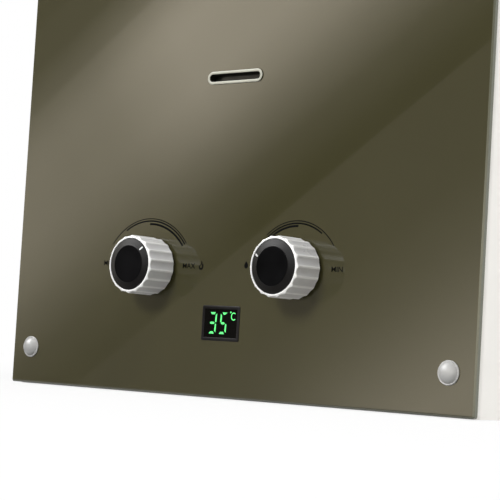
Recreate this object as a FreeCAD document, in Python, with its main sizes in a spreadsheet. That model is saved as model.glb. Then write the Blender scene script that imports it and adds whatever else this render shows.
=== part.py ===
import FreeCAD, Part
import math
import os
import Sketcher

# Portable propane water heater: a sheet steel case with a glass front, two knobs and a
# temperature display, and the gas, water and ignition parts that it holds inside.
# Millimetres. +Z is up, the glass faces -Y and +X is to the right of someone facing it.
# The origin is at the middle of the whole heater's footprint, on the surface it stands on.

Vector = FreeCAD.Vector
Rotation = FreeCAD.Rotation

doc = FreeCAD.newDocument("water_heater")
sheet = doc.addObject("Spreadsheet::Sheet", "Sizes")


# ---------------------------------------------------------------- numbers with formulas

class Size:
    """A number together with its formula over the cells of the sheet."""

    def __init__(self, value, formula):
        self.value = value
        self.formula = formula

    def __add__(self, other):
        return combine(self, "+", other)

    def __radd__(self, other):
        return combine(other, "+", self)

    def __sub__(self, other):
        return combine(self, "-", other)

    def __rsub__(self, other):
        return combine(other, "-", self)

    def __mul__(self, other):
        return combine(self, "*", other)

    def __rmul__(self, other):
        return combine(other, "*", self)

    def __truediv__(self, other):
        return combine(self, "/", other)

    def __neg__(self):
        return combine(0.0, "-", self)


def lift(number):
    return number if isinstance(number, Size) else Size(float(number), f"({float(number)!r})")


def combine(first, sign, second):
    first, second = lift(first), lift(second)
    results = {
        "+": first.value + second.value,
        "-": first.value - second.value,
        "*": first.value * second.value,
        "/": first.value / second.value if second.value else 0.0,
    }
    return Size(results[sign], f"({first.formula} {sign} {second.formula})")


def cosine(angle):
    angle = lift(angle)
    return Size(math.cos(math.radians(angle.value)), f"cos({angle.formula})")


def sine(angle):
    angle = lift(angle)
    return Size(math.sin(math.radians(angle.value)), f"sin({angle.formula})")


def size(name, value):
    """Writes one driving size into the sheet and returns it."""
    size.row += 1
    cell = f"A{size.row}"
    sheet.set(cell, str(value))
    sheet.setAlias(cell, name)
    return Size(float(value), f"Sizes.{name}")


size.row = 0


# ---------------------------------------------------------------- driving sizes

# Glass front
panel_width = size("panel_width", 330)
panel_height = size("panel_height", 450)
glass_thick = size("glass_thick", 3.2)
glass_inset = size("glass_inset", 0.4)
glass_bevel = size("glass_bevel", 0.8)
glass_corner = size("glass_corner", 1.2)
tape_thick = size("tape_thick", 1)
tape_width = size("tape_width", 12)

# Sheet steel case
case_depth = size("case_depth", 120)
case_inset = size("case_inset", 1.5)
sheet_thick = size("sheet_thick", 1)
bend_radius = size("bend_radius", 4)
front_flange = size("front_flange", 22)
rim_width = size("rim_width", 12)
sill_height = size("sill_height", 14)
recess_depth = size("recess_depth", 27)
skirt_height = size("skirt_height", 10)
seam_gap = size("seam_gap", 0.2)
louvre_length = size("louvre_length", 56)
louvre_height = size("louvre_height", 4)
louvre_pitch = size("louvre_pitch", 11)
louvre_floor = size("louvre_floor", 150)
louvre_side_gap = size("louvre_side_gap", 24)
louvre_count = 8
case_screw_radius = size("case_screw_radius", 1.5)
case_screw_length = size("case_screw_length", 3.5)
case_screw_head = size("case_screw_head", 3.2)
case_screw_head_height = size("case_screw_head_height", 1.2)
case_screw_front = size("case_screw_front", 30)
case_screw_rear = size("case_screw_rear", 24)

# Corner screws
corner_in = size("corner_in", 15.6)
corner_up = size("corner_up", 22)
dome_radius = size("dome_radius", 5.4)
dome_height = size("dome_height", 3.5)
dome_rim = size("dome_rim", 6.2)
dome_rim_thick = size("dome_rim_thick", 0.9)
corner_shank = size("corner_shank", 2)
grommet_wall = size("grommet_wall", 1.5)
nut_across = size("nut_across", 8)
nut_thick = size("nut_thick", 3.2)

# Sight window and display
window_up = size("window_up", 177.3)
window_length = size("window_length", 39.4)
window_height = size("window_height", 7.2)
window_rim = size("window_rim", 1.5)
window_proud = size("window_proud", 0.8)
pane_thick = size("pane_thick", 0.8)
pane_lip = size("pane_lip", 1.2)
holder_margin = size("holder_margin", 6)
display_up = size("display_up", 41.1)
display_width = size("display_width", 27)
display_height = size("display_height", 19.3)
display_rim = size("display_rim", 1.2)
display_wall = size("display_wall", 0.6)
display_proud = size("display_proud", 0.4)
module_depth = size("module_depth", 9)
card_margin = size("card_margin", 2.5)
card_side = size("card_side", 5)
card_thick = size("card_thick", 1.6)

# Knobs and spindles
knob_up = size("knob_up", 71.5)
knob_out = size("knob_out", 51.7)
knob_radius = size("knob_radius", 16.3)
knob_length = size("knob_length", 19.4)
knob_gap = size("knob_gap", 1.8)
knob_chamfer = size("knob_chamfer", 1.0)
flute_depth = size("flute_depth", 0.7)
flute_count = 18
cap_radius = size("cap_radius", 14.55)
cap_depth = size("cap_depth", 3.2)
cap_disc_radius = size("cap_disc_radius", 10.2)
cap_disc_rise = size("cap_disc_rise", 1.2)
spindle_radius = size("spindle_radius", 3)
spindle_grip = size("spindle_grip", 12)
running_gap = size("running_gap", 0.04)
press_gap = size("press_gap", 0.02)

# Valves
valve_back = size("valve_back", 60)
valve_depth = size("valve_depth", 40)
valve_low = size("valve_low", 47)
valve_high = size("valve_high", 96)
gas_valve_left = size("gas_valve_left", 86)
gas_valve_right = size("gas_valve_right", 22)
water_valve_left = size("water_valve_left", 36)
water_valve_right = size("water_valve_right", 90)
riser_drop = size("riser_drop", 14)
gland_length = size("gland_length", 13)
gland_radius = size("gland_radius", 10)
gland_neck = size("gland_neck", 4)
gland_bite = size("gland_bite", 6)
drain_hex_height = size("drain_hex_height", 7)
drain_bite = size("drain_bite", 8)
solenoid_radius = size("solenoid_radius", 13)
solenoid_length = size("solenoid_length", 32)
solenoid_left = size("solenoid_left", 16)
solenoid_rise = size("solenoid_rise", 4)

# Diaphragm, push rod and water switch
diaphragm_radius = size("diaphragm_radius", 28)
diaphragm_thick = size("diaphragm_thick", 1)
diaphragm_edge = size("diaphragm_edge", 5)
housing_half = size("housing_half", 8)
housing_wall = size("housing_wall", 3)
housing_rim = size("housing_rim", 8)
cover_nose = size("cover_nose", 5)
cover_screw_radius = size("cover_screw_radius", 1.7)
cover_screw_head = size("cover_screw_head", 2.4)
cover_screw_edge = size("cover_screw_edge", 3.2)
cover_screw_count = 6
rod_radius = size("rod_radius", 2)
rod_bite = size("rod_bite", 16)
rod_travel = size("rod_travel", 4)
rod_plate_radius = size("rod_plate_radius", 12)
rod_plate_thick = size("rod_plate_thick", 1.5)
link_boss = size("link_boss", 4)
collar_left = size("collar_left", 2)
collar_thick = size("collar_thick", 3)
collar_radius = size("collar_radius", 8)
spring_radius = size("spring_radius", 3.6)
spring_wire = size("spring_wire", 0.5)
spring_turns = 7
lever_up = size("lever_up", 15)
lever_left = size("lever_left", 6)
lever_thick = size("lever_thick", 1.2)
lever_toe_up = size("lever_toe_up", 5.2)
lever_hub = size("lever_hub", 2.2)
lever_pin = size("lever_pin", 1)
touch_gap = size("touch_gap", 0.3)

# Fittings
thread_radius = size("thread_radius", 10.48)
thread_length = size("thread_length", 14)
fitting_bore = size("fitting_bore", 7.5)
fitting_ground = size("fitting_ground", 4)
fitting_hex = size("fitting_hex", 14.5)
hex_height = size("hex_height", 8)
hot_left = size("hot_left", 105)
cold_right = size("cold_right", 74)
drain_right = size("drain_right", 46)
drain_neck = size("drain_neck", 5.2)
tube_radius = size("tube_radius", 6)
tube_wall = size("tube_wall", 1)
tube_bend = size("tube_bend", 8)
hot_bend = size("hot_bend", 12)
lock_height = size("lock_height", 5)
drain_grip = size("drain_grip", 7)
drain_wing = size("drain_wing", 11)
drain_clear = size("drain_clear", 2)
plate_gap = size("plate_gap", 0.2)

# Burner, chamber, exchanger and flue
burner_half = size("burner_half", 93)
burner_low = size("burner_low", 104)
burner_high = size("burner_high", 165)
burner_front = size("burner_front", 42)
burner_rear = size("burner_rear", 104)
bar_thick = size("bar_thick", 9)
bar_count = 10
port_pitch = size("port_pitch", 7.4)
port_length = size("port_length", 3)
port_count = 8
tray_rise = size("tray_rise", 20)
tray_flange = size("tray_flange", 4)
nozzle_rise = size("nozzle_rise", 7)
nozzle_radius = size("nozzle_radius", 2.4)
nozzle_length = size("nozzle_length", 6)
riser_radius = size("riser_radius", 6)
riser_wall = size("riser_wall", 1.5)
manifold_back = size("manifold_back", 40)
manifold_depth = size("manifold_depth", 14)
manifold_height = size("manifold_height", 16)
manifold_wall = size("manifold_wall", 2)
chamber_half = size("chamber_half", 98)
chamber_front = size("chamber_front", 38)
chamber_rear = size("chamber_rear", 106)
chamber_low = size("chamber_low", 168)
exchanger_low = size("exchanger_low", 300)
exchanger_high = size("exchanger_high", 344)
tube_rows = 4
coil_gap = size("coil_gap", 0.8)
coil_rise = size("coil_rise", 11)
coil_runs = 10
hot_pipe_gap = size("hot_pipe_gap", 9)
fin_thick = size("fin_thick", 0.8)
fin_count = 24
hood_drop = size("hood_drop", 20)
hood_neck = size("hood_neck", 30)
hood_side = size("hood_side", 27)
hood_reach = size("hood_reach", 3)
flue_radius = size("flue_radius", 45)
flue_stand = size("flue_stand", 26)
flue_back = size("flue_back", 60)
flue_foot = size("flue_foot", 2.5)
flue_step = size("flue_step", 0.6)
liner_thick = size("liner_thick", 1)
electrode_left = size("electrode_left", 32)
electrode_pitch = size("electrode_pitch", 10)
electrode_radius = size("electrode_radius", 3)

# Handle
handle_half = size("handle_half", 112)
handle_rod = size("handle_rod", 3.5)
handle_clear = size("handle_clear", 3.5)
handle_back = size("handle_back", 62)
handle_pin_up = size("handle_pin_up", 6.6)
grip_radius = size("grip_radius", 6.2)
grip_half = size("grip_half", 48)
handle_bend = size("handle_bend", 6)
ear_out = size("ear_out", 7)
ear_thick = size("ear_thick", 4)
ear_half = size("ear_half", 8)
ear_foot = size("ear_foot", 14)
ear_foot_thick = size("ear_foot_thick", 1.5)
ear_rivet = size("ear_rivet", 2.2)

# Battery compartment and control box
cell_radius = size("cell_radius", 16.6)
cell_length = size("cell_length", 60)
battery_wall = size("battery_wall", 1.5)
battery_front = size("battery_front", 48)
battery_low = size("battery_low", 42)
cell_gap = size("cell_gap", 0.4)
cell_nub = size("cell_nub", 2)
contact_thick = size("contact_thick", 0.8)
contact_half = size("contact_half", 7)
door_thick = size("door_thick", 2)
door_gap = size("door_gap", 0.35)
door_in = size("door_in", 1.5)
door_pin = size("door_pin", 0.8)
door_pin_bite = size("door_pin_bite", 1.2)
door_rib_count = 4
control_depth = size("control_depth", 65)
control_width = size("control_width", 36)
control_height = size("control_height", 75)
control_rise = size("control_rise", 30)
control_back = size("control_back", 45)

# Wall brackets
wall_gap = size("wall_gap", 6)
bracket_thick = size("bracket_thick", 2)
bracket_half = size("bracket_half", 95)
bracket_gap_half = size("bracket_gap_half", 62)
bracket_hole_out = size("bracket_hole_out", 80)
bracket_hole = size("bracket_hole", 3.25)
bracket_above = size("bracket_above", 26)
bracket_drop = size("bracket_drop", 40)
bracket_pad = size("bracket_pad", 12)
bracket_screw_out = size("bracket_screw_out", 62)
bracket_screw_drop = size("bracket_screw_drop", 24)
spacer_half = size("spacer_half", 32)
spacer_screw_out = size("spacer_screw_out", 20)
spacer_rise = size("spacer_rise", 28)

# Planes of the layers, from the glass back to the wall
knob_reach = knob_gap + knob_length
layers = glass_thick + tape_thick + sheet_thick + case_depth + wall_gap
front = (knob_reach + cap_disc_rise - layers) / 2
glass_rear = front + glass_thick
frame_front = glass_rear + tape_thick
case_front = frame_front + sheet_thick
case_rear = case_front + case_depth
wall_face = case_rear + wall_gap
case_half = panel_width / 2 - case_inset
inner_half = case_half - sheet_thick
inner_front = case_front + sheet_thick
inner_rear = case_rear - sheet_thick
case_height = panel_height - sheet_thick

# Valves, and the link between them
valve_axis = front + valve_back
valve_face = valve_axis - valve_depth / 2
valve_rear = valve_axis + valve_depth / 2
spindle_length = valve_face + gland_bite - (front - knob_gap) + spindle_grip
gland_front = valve_face - gland_length
riser_up = valve_high - riser_drop
diaphragm_front = water_valve_left - housing_half - diaphragm_thick
cover_left = diaphragm_front - housing_half - housing_wall
link_end = diaphragm_front - touch_gap
collar_face = -collar_left
lever_axis = -lever_left
lever_pivot_up = knob_up + lever_up

# Burner, coil, exchanger and flue
tray_low = burner_low + tray_rise
manifold_front = front + manifold_back
manifold_rear = manifold_front + manifold_depth
manifold_low = burner_low - 1
manifold_high = manifold_low + manifold_height
bar_pitch = 2 * burner_half / bar_count
coil_side = chamber_half + tube_radius + coil_gap
coil_front = front + chamber_front - tube_radius - coil_gap
coil_rear = front + chamber_rear + tube_radius + coil_gap
hot_pipe_side = coil_side + 2 * tube_radius + hot_pipe_gap
tube_up = (exchanger_low + exchanger_high) / 2
tube_first = front + chamber_rear - tube_radius - 2
tube_last = front + chamber_front + tube_radius + 2
tube_pitch = (tube_first - tube_last) / (tube_rows - 1)
header_side = chamber_half + 3
riser_side = header_side + 10
flue_axis = front + flue_back
hood_high = panel_height - hood_drop
flue_top = panel_height + flue_stand

# Handle
handle_axis = front + handle_back
handle_up = panel_height + handle_pin_up
handle_reach = flue_radius + grip_radius + handle_clear
ear_near = handle_half + ear_out
ear_far = ear_near + ear_thick

# Battery compartment
door_line = -inner_half + door_in
store_near = door_line + door_thick / 2 + cell_gap
store_far = store_near + 2 * (cell_radius + cell_gap)
door_front = front + battery_front + battery_wall
door_rear = door_front + 4 * cell_radius + 3 * cell_gap
door_low = battery_low + battery_wall
door_high = door_low + cell_length + 2 * contact_thick + press_gap * 10
pivot_deep = door_rear - door_thick / 2 - door_gap

# Places of the screws: across or deep, and height
knob_spots = {"gas": -knob_out, "water": knob_out}
screw_spots = [
    (side * (panel_width / 2 - corner_in), height)
    for side in (-1, 1)
    for height in (corner_up, panel_height - corner_up)
]
lid_screw_spots = [
    (case_front + case_screw_front, case_height - skirt_height / 2 - sheet_thick),
    (case_rear - case_screw_rear, case_height - skirt_height / 2 - sheet_thick),
]
floor_screw_spots = [
    (case_front + case_screw_front, recess_depth - skirt_height / 2),
    (case_rear - case_screw_rear, recess_depth - skirt_height / 2),
]
hanger_screw_spots = [
    (side * bracket_screw_out, panel_height - bracket_screw_drop) for side in (-1, 1)
]
spacer_screw_spots = [
    (side * spacer_screw_out, recess_depth + spacer_rise) for side in (-1, 1)
]


# ---------------------------------------------------------------- drawing helpers

TO_AXIS = {
    "x": Rotation(Vector(0, 1, 0), 90),
    "y": Rotation(Vector(1, 0, 0), -90),
    "z": Rotation(),
}


def bind(thing, path, number):
    """Ties one property of a document object to a formula."""
    number = lift(number)
    if "Sizes." in number.formula:
        thing.setExpression(path, number.formula)
    elif path.isalpha():
        setattr(thing, path, number.value)


def place(thing, at, turn=None):
    at = [lift(number) for number in at]
    corner = Vector(*[number.value for number in at])
    thing.Placement = FreeCAD.Placement(corner, turn or Rotation())
    for axis, number in zip("xyz", at):
        bind(thing, f"Placement.Base.{axis}", number)
    return thing


def box(name, low, high):
    block = doc.addObject("Part::Box", name)
    for side, near, far in zip(("Length", "Width", "Height"), low, high):
        bind(block, side, lift(far) - near)
    return place(block, low)


def rod(name, at, axis, radius, length):
    pin = doc.addObject("Part::Cylinder", name)
    bind(pin, "Radius", radius)
    bind(pin, "Height", length)
    return place(pin, at, TO_AXIS[axis])


def hexagon(name, at, axis, corner_radius, length):
    prism = doc.addObject("Part::Prism", name)
    prism.Polygon = 6
    bind(prism, "Circumradius", corner_radius)
    bind(prism, "Height", length)
    return place(prism, at, TO_AXIS[axis])


def join(name, *pieces):
    whole = doc.addObject("Part::MultiFuse", name)
    whole.Shapes = list(pieces)
    return whole


def cut(name, base, *tools):
    rest = doc.addObject("Part::Cut", name)
    rest.Base = base
    rest.Tool = tools[0] if len(tools) == 1 else join(f"{name}_tools", *tools)
    return rest


def group(name, *pieces):
    """Separate solids that make one node."""
    bundle = doc.addObject("Part::Compound", name)
    bundle.Links = list(pieces)
    return bundle


def tube(name, at, axis, radius, wall, length):
    """Round tube, open at both ends."""
    outer = rod(f"{name}_outer", at, axis, radius, length)
    return cut(name, outer, rod(f"{name}_bore", at, axis, lift(radius) - wall, length))


def frame_box(name, low, high, wall, axis=2):
    """Box with walls all round and open at both ends along one axis."""
    inside_low = [near if side == axis else lift(near) + wall for side, near in enumerate(low)]
    inside_high = [far if side == axis else lift(far) - wall for side, far in enumerate(high)]
    return cut(name, box(f"{name}_block", low, high), box(f"{name}_hole", inside_low, inside_high))


def body_plane(body, role):
    return next(feature for feature in body.Origin.OriginFeatures if feature.Role == role)


def sketch_on(body, name, role, offset=0.0):
    """Sketch on one of the body's own planes, moved along that plane's normal."""
    sketch = body.newObject("Sketcher::SketchObject", name)
    sketch.AttachmentSupport = [(body_plane(body, role), "")]
    sketch.MapMode = "FlatFace"
    bind(sketch, "AttachmentOffset.Base.z", offset)
    return sketch


def hold(sketch, shape, point, across, up):
    """Fixes a point of the sketch at two distances from its origin."""
    for kind, number in (("DistanceX", lift(across)), ("DistanceY", lift(up))):
        index = sketch.addConstraint(
            Sketcher.Constraint(kind, -1, 1, shape, point, number.value))
        bind(sketch, f"Constraints[{index}]", number)


def outline(sketch, corners):
    """Closed polygon through the corners."""
    start = sketch.GeometryCount
    points = [Vector(lift(across).value, lift(up).value, 0) for across, up in corners]
    for near, far in zip(points, points[1:] + points[:1]):
        sketch.addGeometry(Part.LineSegment(near, far), False)
    for index, (across, up) in enumerate(corners):
        following = start + (index + 1) % len(corners)
        sketch.addConstraint(Sketcher.Constraint("Coincident", start + index, 2, following, 1))
        hold(sketch, start + index, 1, across, up)
    return sketch


def rectangle(sketch, left, low, right, high):
    return outline(sketch, [(left, low), (right, low), (right, high), (left, high)])


def circle(sketch, across, up, radius):
    centre = Vector(lift(across).value, lift(up).value, 0)
    ring = sketch.addGeometry(Part.Circle(centre, Vector(0, 0, 1), lift(radius).value), False)
    hold(sketch, ring, 3, across, up)
    index = sketch.addConstraint(Sketcher.Constraint("Radius", ring, lift(radius).value))
    bind(sketch, f"Constraints[{index}]", radius)
    return sketch


def arc_chain(sketch, centres, radius, first_angle, turn):
    """Equal arcs joined by tangent lines, anticlockwise: a round-cornered outline."""
    radius = lift(radius)
    start = sketch.GeometryCount
    arcs = []
    for index, (across, up) in enumerate(centres):
        centre = Vector(lift(across).value, lift(up).value, 0)
        angle = math.radians(first_angle + turn * index)
        ring = Part.Circle(centre, Vector(0, 0, 1), radius.value)
        arcs.append(Part.ArcOfCircle(ring, angle, angle + math.radians(turn)))
    for index, arc in enumerate(arcs):
        following = arcs[(index + 1) % len(arcs)]
        sketch.addGeometry(arc, False)
        sketch.addGeometry(Part.LineSegment(arc.EndPoint, following.StartPoint), False)
    for index, (across, up) in enumerate(centres):
        arc = start + 2 * index
        following = start + (2 * index + 2) % (2 * len(centres))
        sketch.addConstraint(Sketcher.Constraint("Tangent", arc, 2, arc + 1, 1))
        sketch.addConstraint(Sketcher.Constraint("Tangent", arc + 1, 2, following, 1))
        hold(sketch, arc, 3, across, up)
        index = sketch.addConstraint(Sketcher.Constraint("Radius", arc, radius.value))
        bind(sketch, f"Constraints[{index}]", radius)
    return sketch


def rounded(sketch, left, low, right, high, radius):
    """Rectangle with round corners."""
    right, high = lift(right), lift(high)
    centres = [
        (right - radius, lift(low) + radius),
        (right - radius, high - radius),
        (lift(left) + radius, high - radius),
        (lift(left) + radius, lift(low) + radius),
    ]
    return arc_chain(sketch, centres, radius, -90, 90)


def oblong(sketch, across, up, length, height):
    """Slot with round ends, lying along the sketch's first axis."""
    run = (lift(length) - height) / 2
    centres = [(across + run, up), (lift(across) - run, up)]
    return arc_chain(sketch, centres, lift(height) / 2, -90, 180)


def new_body(name):
    return doc.addObject("PartDesign::Body", name)


def pad(body, sketch, length, reverse=False):
    feature = body.newObject("PartDesign::Pad", f"{sketch.Name}_pad")
    feature.Profile = sketch
    feature.Reversed = reverse
    bind(feature, "Length", length)
    sketch.Visibility = False
    return feature


def pocket(body, sketch, depth=None, reverse=False, both_ways=False):
    """Pocket of a given depth, or through everything when no depth is given."""
    feature = body.newObject("PartDesign::Pocket", f"{sketch.Name}_pocket")
    feature.Profile = sketch
    feature.Reversed = reverse
    feature.Midplane = both_ways
    if depth is None:
        feature.Type = "ThroughAll"
    else:
        bind(feature, "Length", depth)
    return feature


def repeat(body, feature, axis_role, count, pitch):
    """The feature again and again along one of the body's axes."""
    row = body.newObject("PartDesign::LinearPattern", f"{feature.Name}_row")
    row.Originals = [feature]
    row.Direction = (body_plane(body, axis_role), [""])
    bind(row, "Length", (count - 1) * pitch)
    row.Occurrences = count
    body.Tip = row
    return row


def turned(name, profile, at, toward):
    """Piece turned on a lathe: (distance along the axis, radius) points, axis start and way."""
    body = new_body(name)
    sketch = outline(sketch_on(body, f"{name}_profile", "XY_Plane"), profile)
    spin = body.newObject("PartDesign::Revolution", f"{name}_turning")
    spin.Profile = sketch
    spin.ReferenceAxis = (sketch, ["H_Axis"])
    spin.Angle = 360
    return place(body, at, Rotation(Vector(1, 0, 0), Vector(*toward)))


def route(points, radius):
    """Path of straight runs with a tangent arc at each inner point."""
    points = [Vector(*[lift(number).value for number in point]) for point in points]
    radius = lift(radius).value
    edges = []
    start = points[0]
    for before, corner, after in zip(points, points[1:], points[2:]):
        incoming = (corner - before).normalize()
        outgoing = (after - corner).normalize()
        turn = incoming.getAngle(outgoing)
        back = radius * math.tan(turn / 2)
        arc_start = corner - incoming * back
        arc_end = corner + outgoing * back
        middle_way = (outgoing - incoming).normalize()
        sag = radius / math.cos(turn / 2) - radius
        if (arc_start - start).Length > 1e-6:
            edges.append(Part.LineSegment(start, arc_start).toShape())
        edges.append(Part.Arc(arc_start, corner + middle_way * sag, arc_end).toShape())
        start = arc_end
    edges.append(Part.LineSegment(start, points[-1]).toShape())
    return Part.Wire(edges), (points[1] - points[0]).normalize()


def bent_tube(name, points, radius, bend, wall=0.0):
    """Tube, or solid rod when it has no wall, swept along a route."""
    path, heading = route(points, bend)
    start = path.Vertexes[0].Point

    def swept(section_radius):
        section = Part.Wire(Part.makeCircle(section_radius, start, heading))
        return path.makePipeShell([section], True, False)

    shape = swept(lift(radius).value)
    if lift(wall).value:
        shape = shape.cut(swept(lift(radius - wall).value))
    piece = doc.addObject("Part::Feature", name)
    piece.Shape = shape
    return piece


# ---------------------------------------------------------------- glass front

def make_glass_panel():
    body = new_body("glass_panel")
    face = sketch_on(body, "glass_outline", "XZ_Plane", -glass_rear)
    rounded(face, -panel_width / 2, glass_inset, panel_width / 2, panel_height - glass_inset,
            glass_corner)
    slab = pad(body, face, glass_thick)
    doc.recompute()
    front_edges = [
        f"Edge{number}" for number, edge in enumerate(slab.Shape.Edges, 1)
        if all(abs(vertex.Y - front.value) < 1e-6 for vertex in edge.Vertexes)
    ]
    bevel = body.newObject("PartDesign::Chamfer", "glass_edge_bevel")
    bevel.Base = (slab, front_edges)
    bind(bevel, "Size", glass_bevel)
    holes = sketch_on(body, "glass_holes", "XZ_Plane", -front)
    for across in knob_spots.values():
        circle(holes, across, knob_up, spindle_radius * 2.4)
    for across, height in screw_spots:
        circle(holes, across, height, corner_shank + grommet_wall)
    oblong(holes, 0, window_up, window_length - window_rim, window_height - window_rim)
    rectangle(holes, -display_width / 2 + display_rim, display_up - display_height / 2 + display_rim,
              display_width / 2 - display_rim, display_up + display_height / 2 - display_rim)
    pocket(body, holes)


def make_foam_tape():
    strips = []
    for index, side in enumerate((-1, 1)):
        middle = side * (panel_width / 2 - corner_in * 3)
        strips.append(box(
            f"tape_strip_{index}",
            (middle - tape_width / 2, glass_rear, corner_up),
            (middle + tape_width / 2, frame_front, panel_height - corner_up)))
    group("foam_tape", *strips)


def make_front_frame():
    body = new_body("frame_plate")
    face = sketch_on(body, "frame_outline", "XZ_Plane", -case_front)
    rounded(face, -case_half, sheet_thick, case_half, case_height, glass_corner)
    pad(body, face, sheet_thick)
    holes = sketch_on(body, "frame_holes", "XZ_Plane", -frame_front)
    for across in knob_spots.values():
        circle(holes, across, knob_up, spindle_radius * 3)
    for across, height in screw_spots:
        circle(holes, across, height, corner_shank + press_gap)
    oblong(holes, 0, window_up, window_length + 2, window_height + 2)
    rectangle(holes, -display_width / 2, display_up - display_height / 2,
              display_width / 2, display_up + display_height / 2)
    pocket(body, holes)


def make_corner_screws():
    screws, grommets, nuts = [], [], []
    sphere_radius = (dome_radius * dome_radius + dome_height * dome_height) / (2 * dome_height)
    shank_end = case_front + sheet_thick + nut_thick
    for index, (across, height) in enumerate(screw_spots):
        ball = doc.addObject("Part::Sphere", f"dome_ball_{index}")
        bind(ball, "Radius", sphere_radius)
        place(ball, (across, front - dome_rim_thick - dome_height + sphere_radius, height),
              TO_AXIS["y"])
        keep = rod(f"dome_keep_{index}", (across, front - dome_rim_thick - dome_height, height),
                   "y", dome_radius, dome_height)
        dome = doc.addObject("Part::Common", f"dome_{index}")
        dome.Base, dome.Tool = ball, keep
        rim = rod(f"dome_flange_{index}", (across, front - dome_rim_thick, height), "y",
                  dome_rim, dome_rim_thick)
        shank = rod(f"dome_shank_{index}", (across, front - dome_rim_thick, height), "y",
                    corner_shank, shank_end - front + dome_rim_thick)
        screws.append(join(f"corner_screw_{index}", dome, rim, shank))
        grommets.append(cut(
            f"grommet_{index}",
            rod(f"grommet_body_{index}", (across, front, height), "y",
                corner_shank + grommet_wall, glass_thick + tape_thick),
            rod(f"grommet_bore_{index}", (across, front, height), "y",
                corner_shank + press_gap, glass_thick + tape_thick)))
        nut = hexagon(f"nut_body_{index}", (across, inner_front, height), "y",
                      nut_across / math.sqrt(3), nut_thick)
        nuts.append(cut(f"nut_{index}", nut,
                        rod(f"nut_bore_{index}", (across, inner_front, height), "y",
                            corner_shank + press_gap, nut_thick)))
    group("corner_cap_screws", *screws)
    group("corner_grommets", *grommets)
    group("weld_nuts", *nuts)


def make_window():
    body = new_body("window_bezel")
    sleeve = sketch_on(body, "window_sleeve", "XZ_Plane", -frame_front)
    oblong(sleeve, 0, window_up, window_length - window_rim - 2 * press_gap,
           window_height - window_rim - 2 * press_gap)
    pad(body, sleeve, glass_thick + tape_thick)
    lip = sketch_on(body, "window_lip", "XZ_Plane", -front)
    oblong(lip, 0, window_up, window_length, window_height)
    pad(body, lip, window_proud)
    opening = sketch_on(body, "window_opening", "XZ_Plane", -(front - window_proud))
    oblong(opening, 0, window_up, window_length - 2 * window_rim,
           window_height - 2 * window_rim)
    pocket(body, opening)
    pane_side = window_length / 2 - sheet_thick
    pane_half = window_height / 2
    pane_rear = frame_front + pane_thick
    box("window_pane",
        (-pane_side, frame_front, window_up - pane_half),
        (pane_side, pane_rear, window_up + pane_half))
    holder_side = window_length / 2 + holder_margin
    holder_half = window_height + holder_margin
    holder = box("pane_holder_plate",
                 (-holder_side, case_front, window_up - holder_half),
                 (holder_side, case_front + sheet_thick, window_up + holder_half))
    lip_edge = pane_half - pane_lip
    opening = box("pane_holder_opening",
                  (-pane_side + pane_lip, case_front, window_up - lip_edge),
                  (pane_side - pane_lip, case_front + sheet_thick, window_up + lip_edge))
    lips = [
        box(f"pane_holder_lip_{index}",
            (-pane_side, pane_rear, window_up + low),
            (pane_side, case_front, window_up + high))
        for index, (low, high) in enumerate(((-pane_half, -lip_edge), (lip_edge, pane_half)))
    ]
    clip = cut("pane_holder", join("pane_holder_blank", holder, *lips), opening)
    join("front_frame", doc.getObject("frame_plate"), clip)


def make_display():
    half_width, half_height = display_width / 2, display_height / 2

    def opening_at(inset):
        return (-half_width + inset, display_up - half_height + inset,
                half_width - inset, display_up + half_height - inset)

    def block(name, near, far, left, low, right, high):
        return box(name, (left, near, low), (right, far, high))

    body = new_body("display_bezel")
    lip = sketch_on(body, "display_lip", "XZ_Plane", -front)
    rounded(lip, *opening_at(0), display_wall + press_gap * 10)
    pad(body, lip, display_proud)
    sleeve = sketch_on(body, "display_sleeve", "XZ_Plane", -case_front)
    rectangle(sleeve, *opening_at(display_rim + press_gap))
    pad(body, sleeve, case_front - front)
    opening = sketch_on(body, "display_opening", "XZ_Plane", -(front - display_proud))
    rectangle(opening, *opening_at(display_rim + press_gap + display_wall))
    pocket(body, opening)
    clear = opening_at(display_rim + 2 * press_gap + display_wall)
    block("display_lens", front - display_proud / 2, glass_rear, *clear)
    digits = block("display_digits", glass_rear, case_front, *clear)
    card = block("display_card", case_front, case_front + card_thick,
                 -half_width - card_side, display_up - half_height - card_margin,
                 half_width + card_side, display_up + half_height + card_margin)
    rear = block("display_rear", case_front, case_front + module_depth,
                 -half_width + card_side, display_up - half_height / 2,
                 half_width - card_side, display_up + half_height / 2)
    join("display_module", card, digits, rear)


# ---------------------------------------------------------------- knobs

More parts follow.
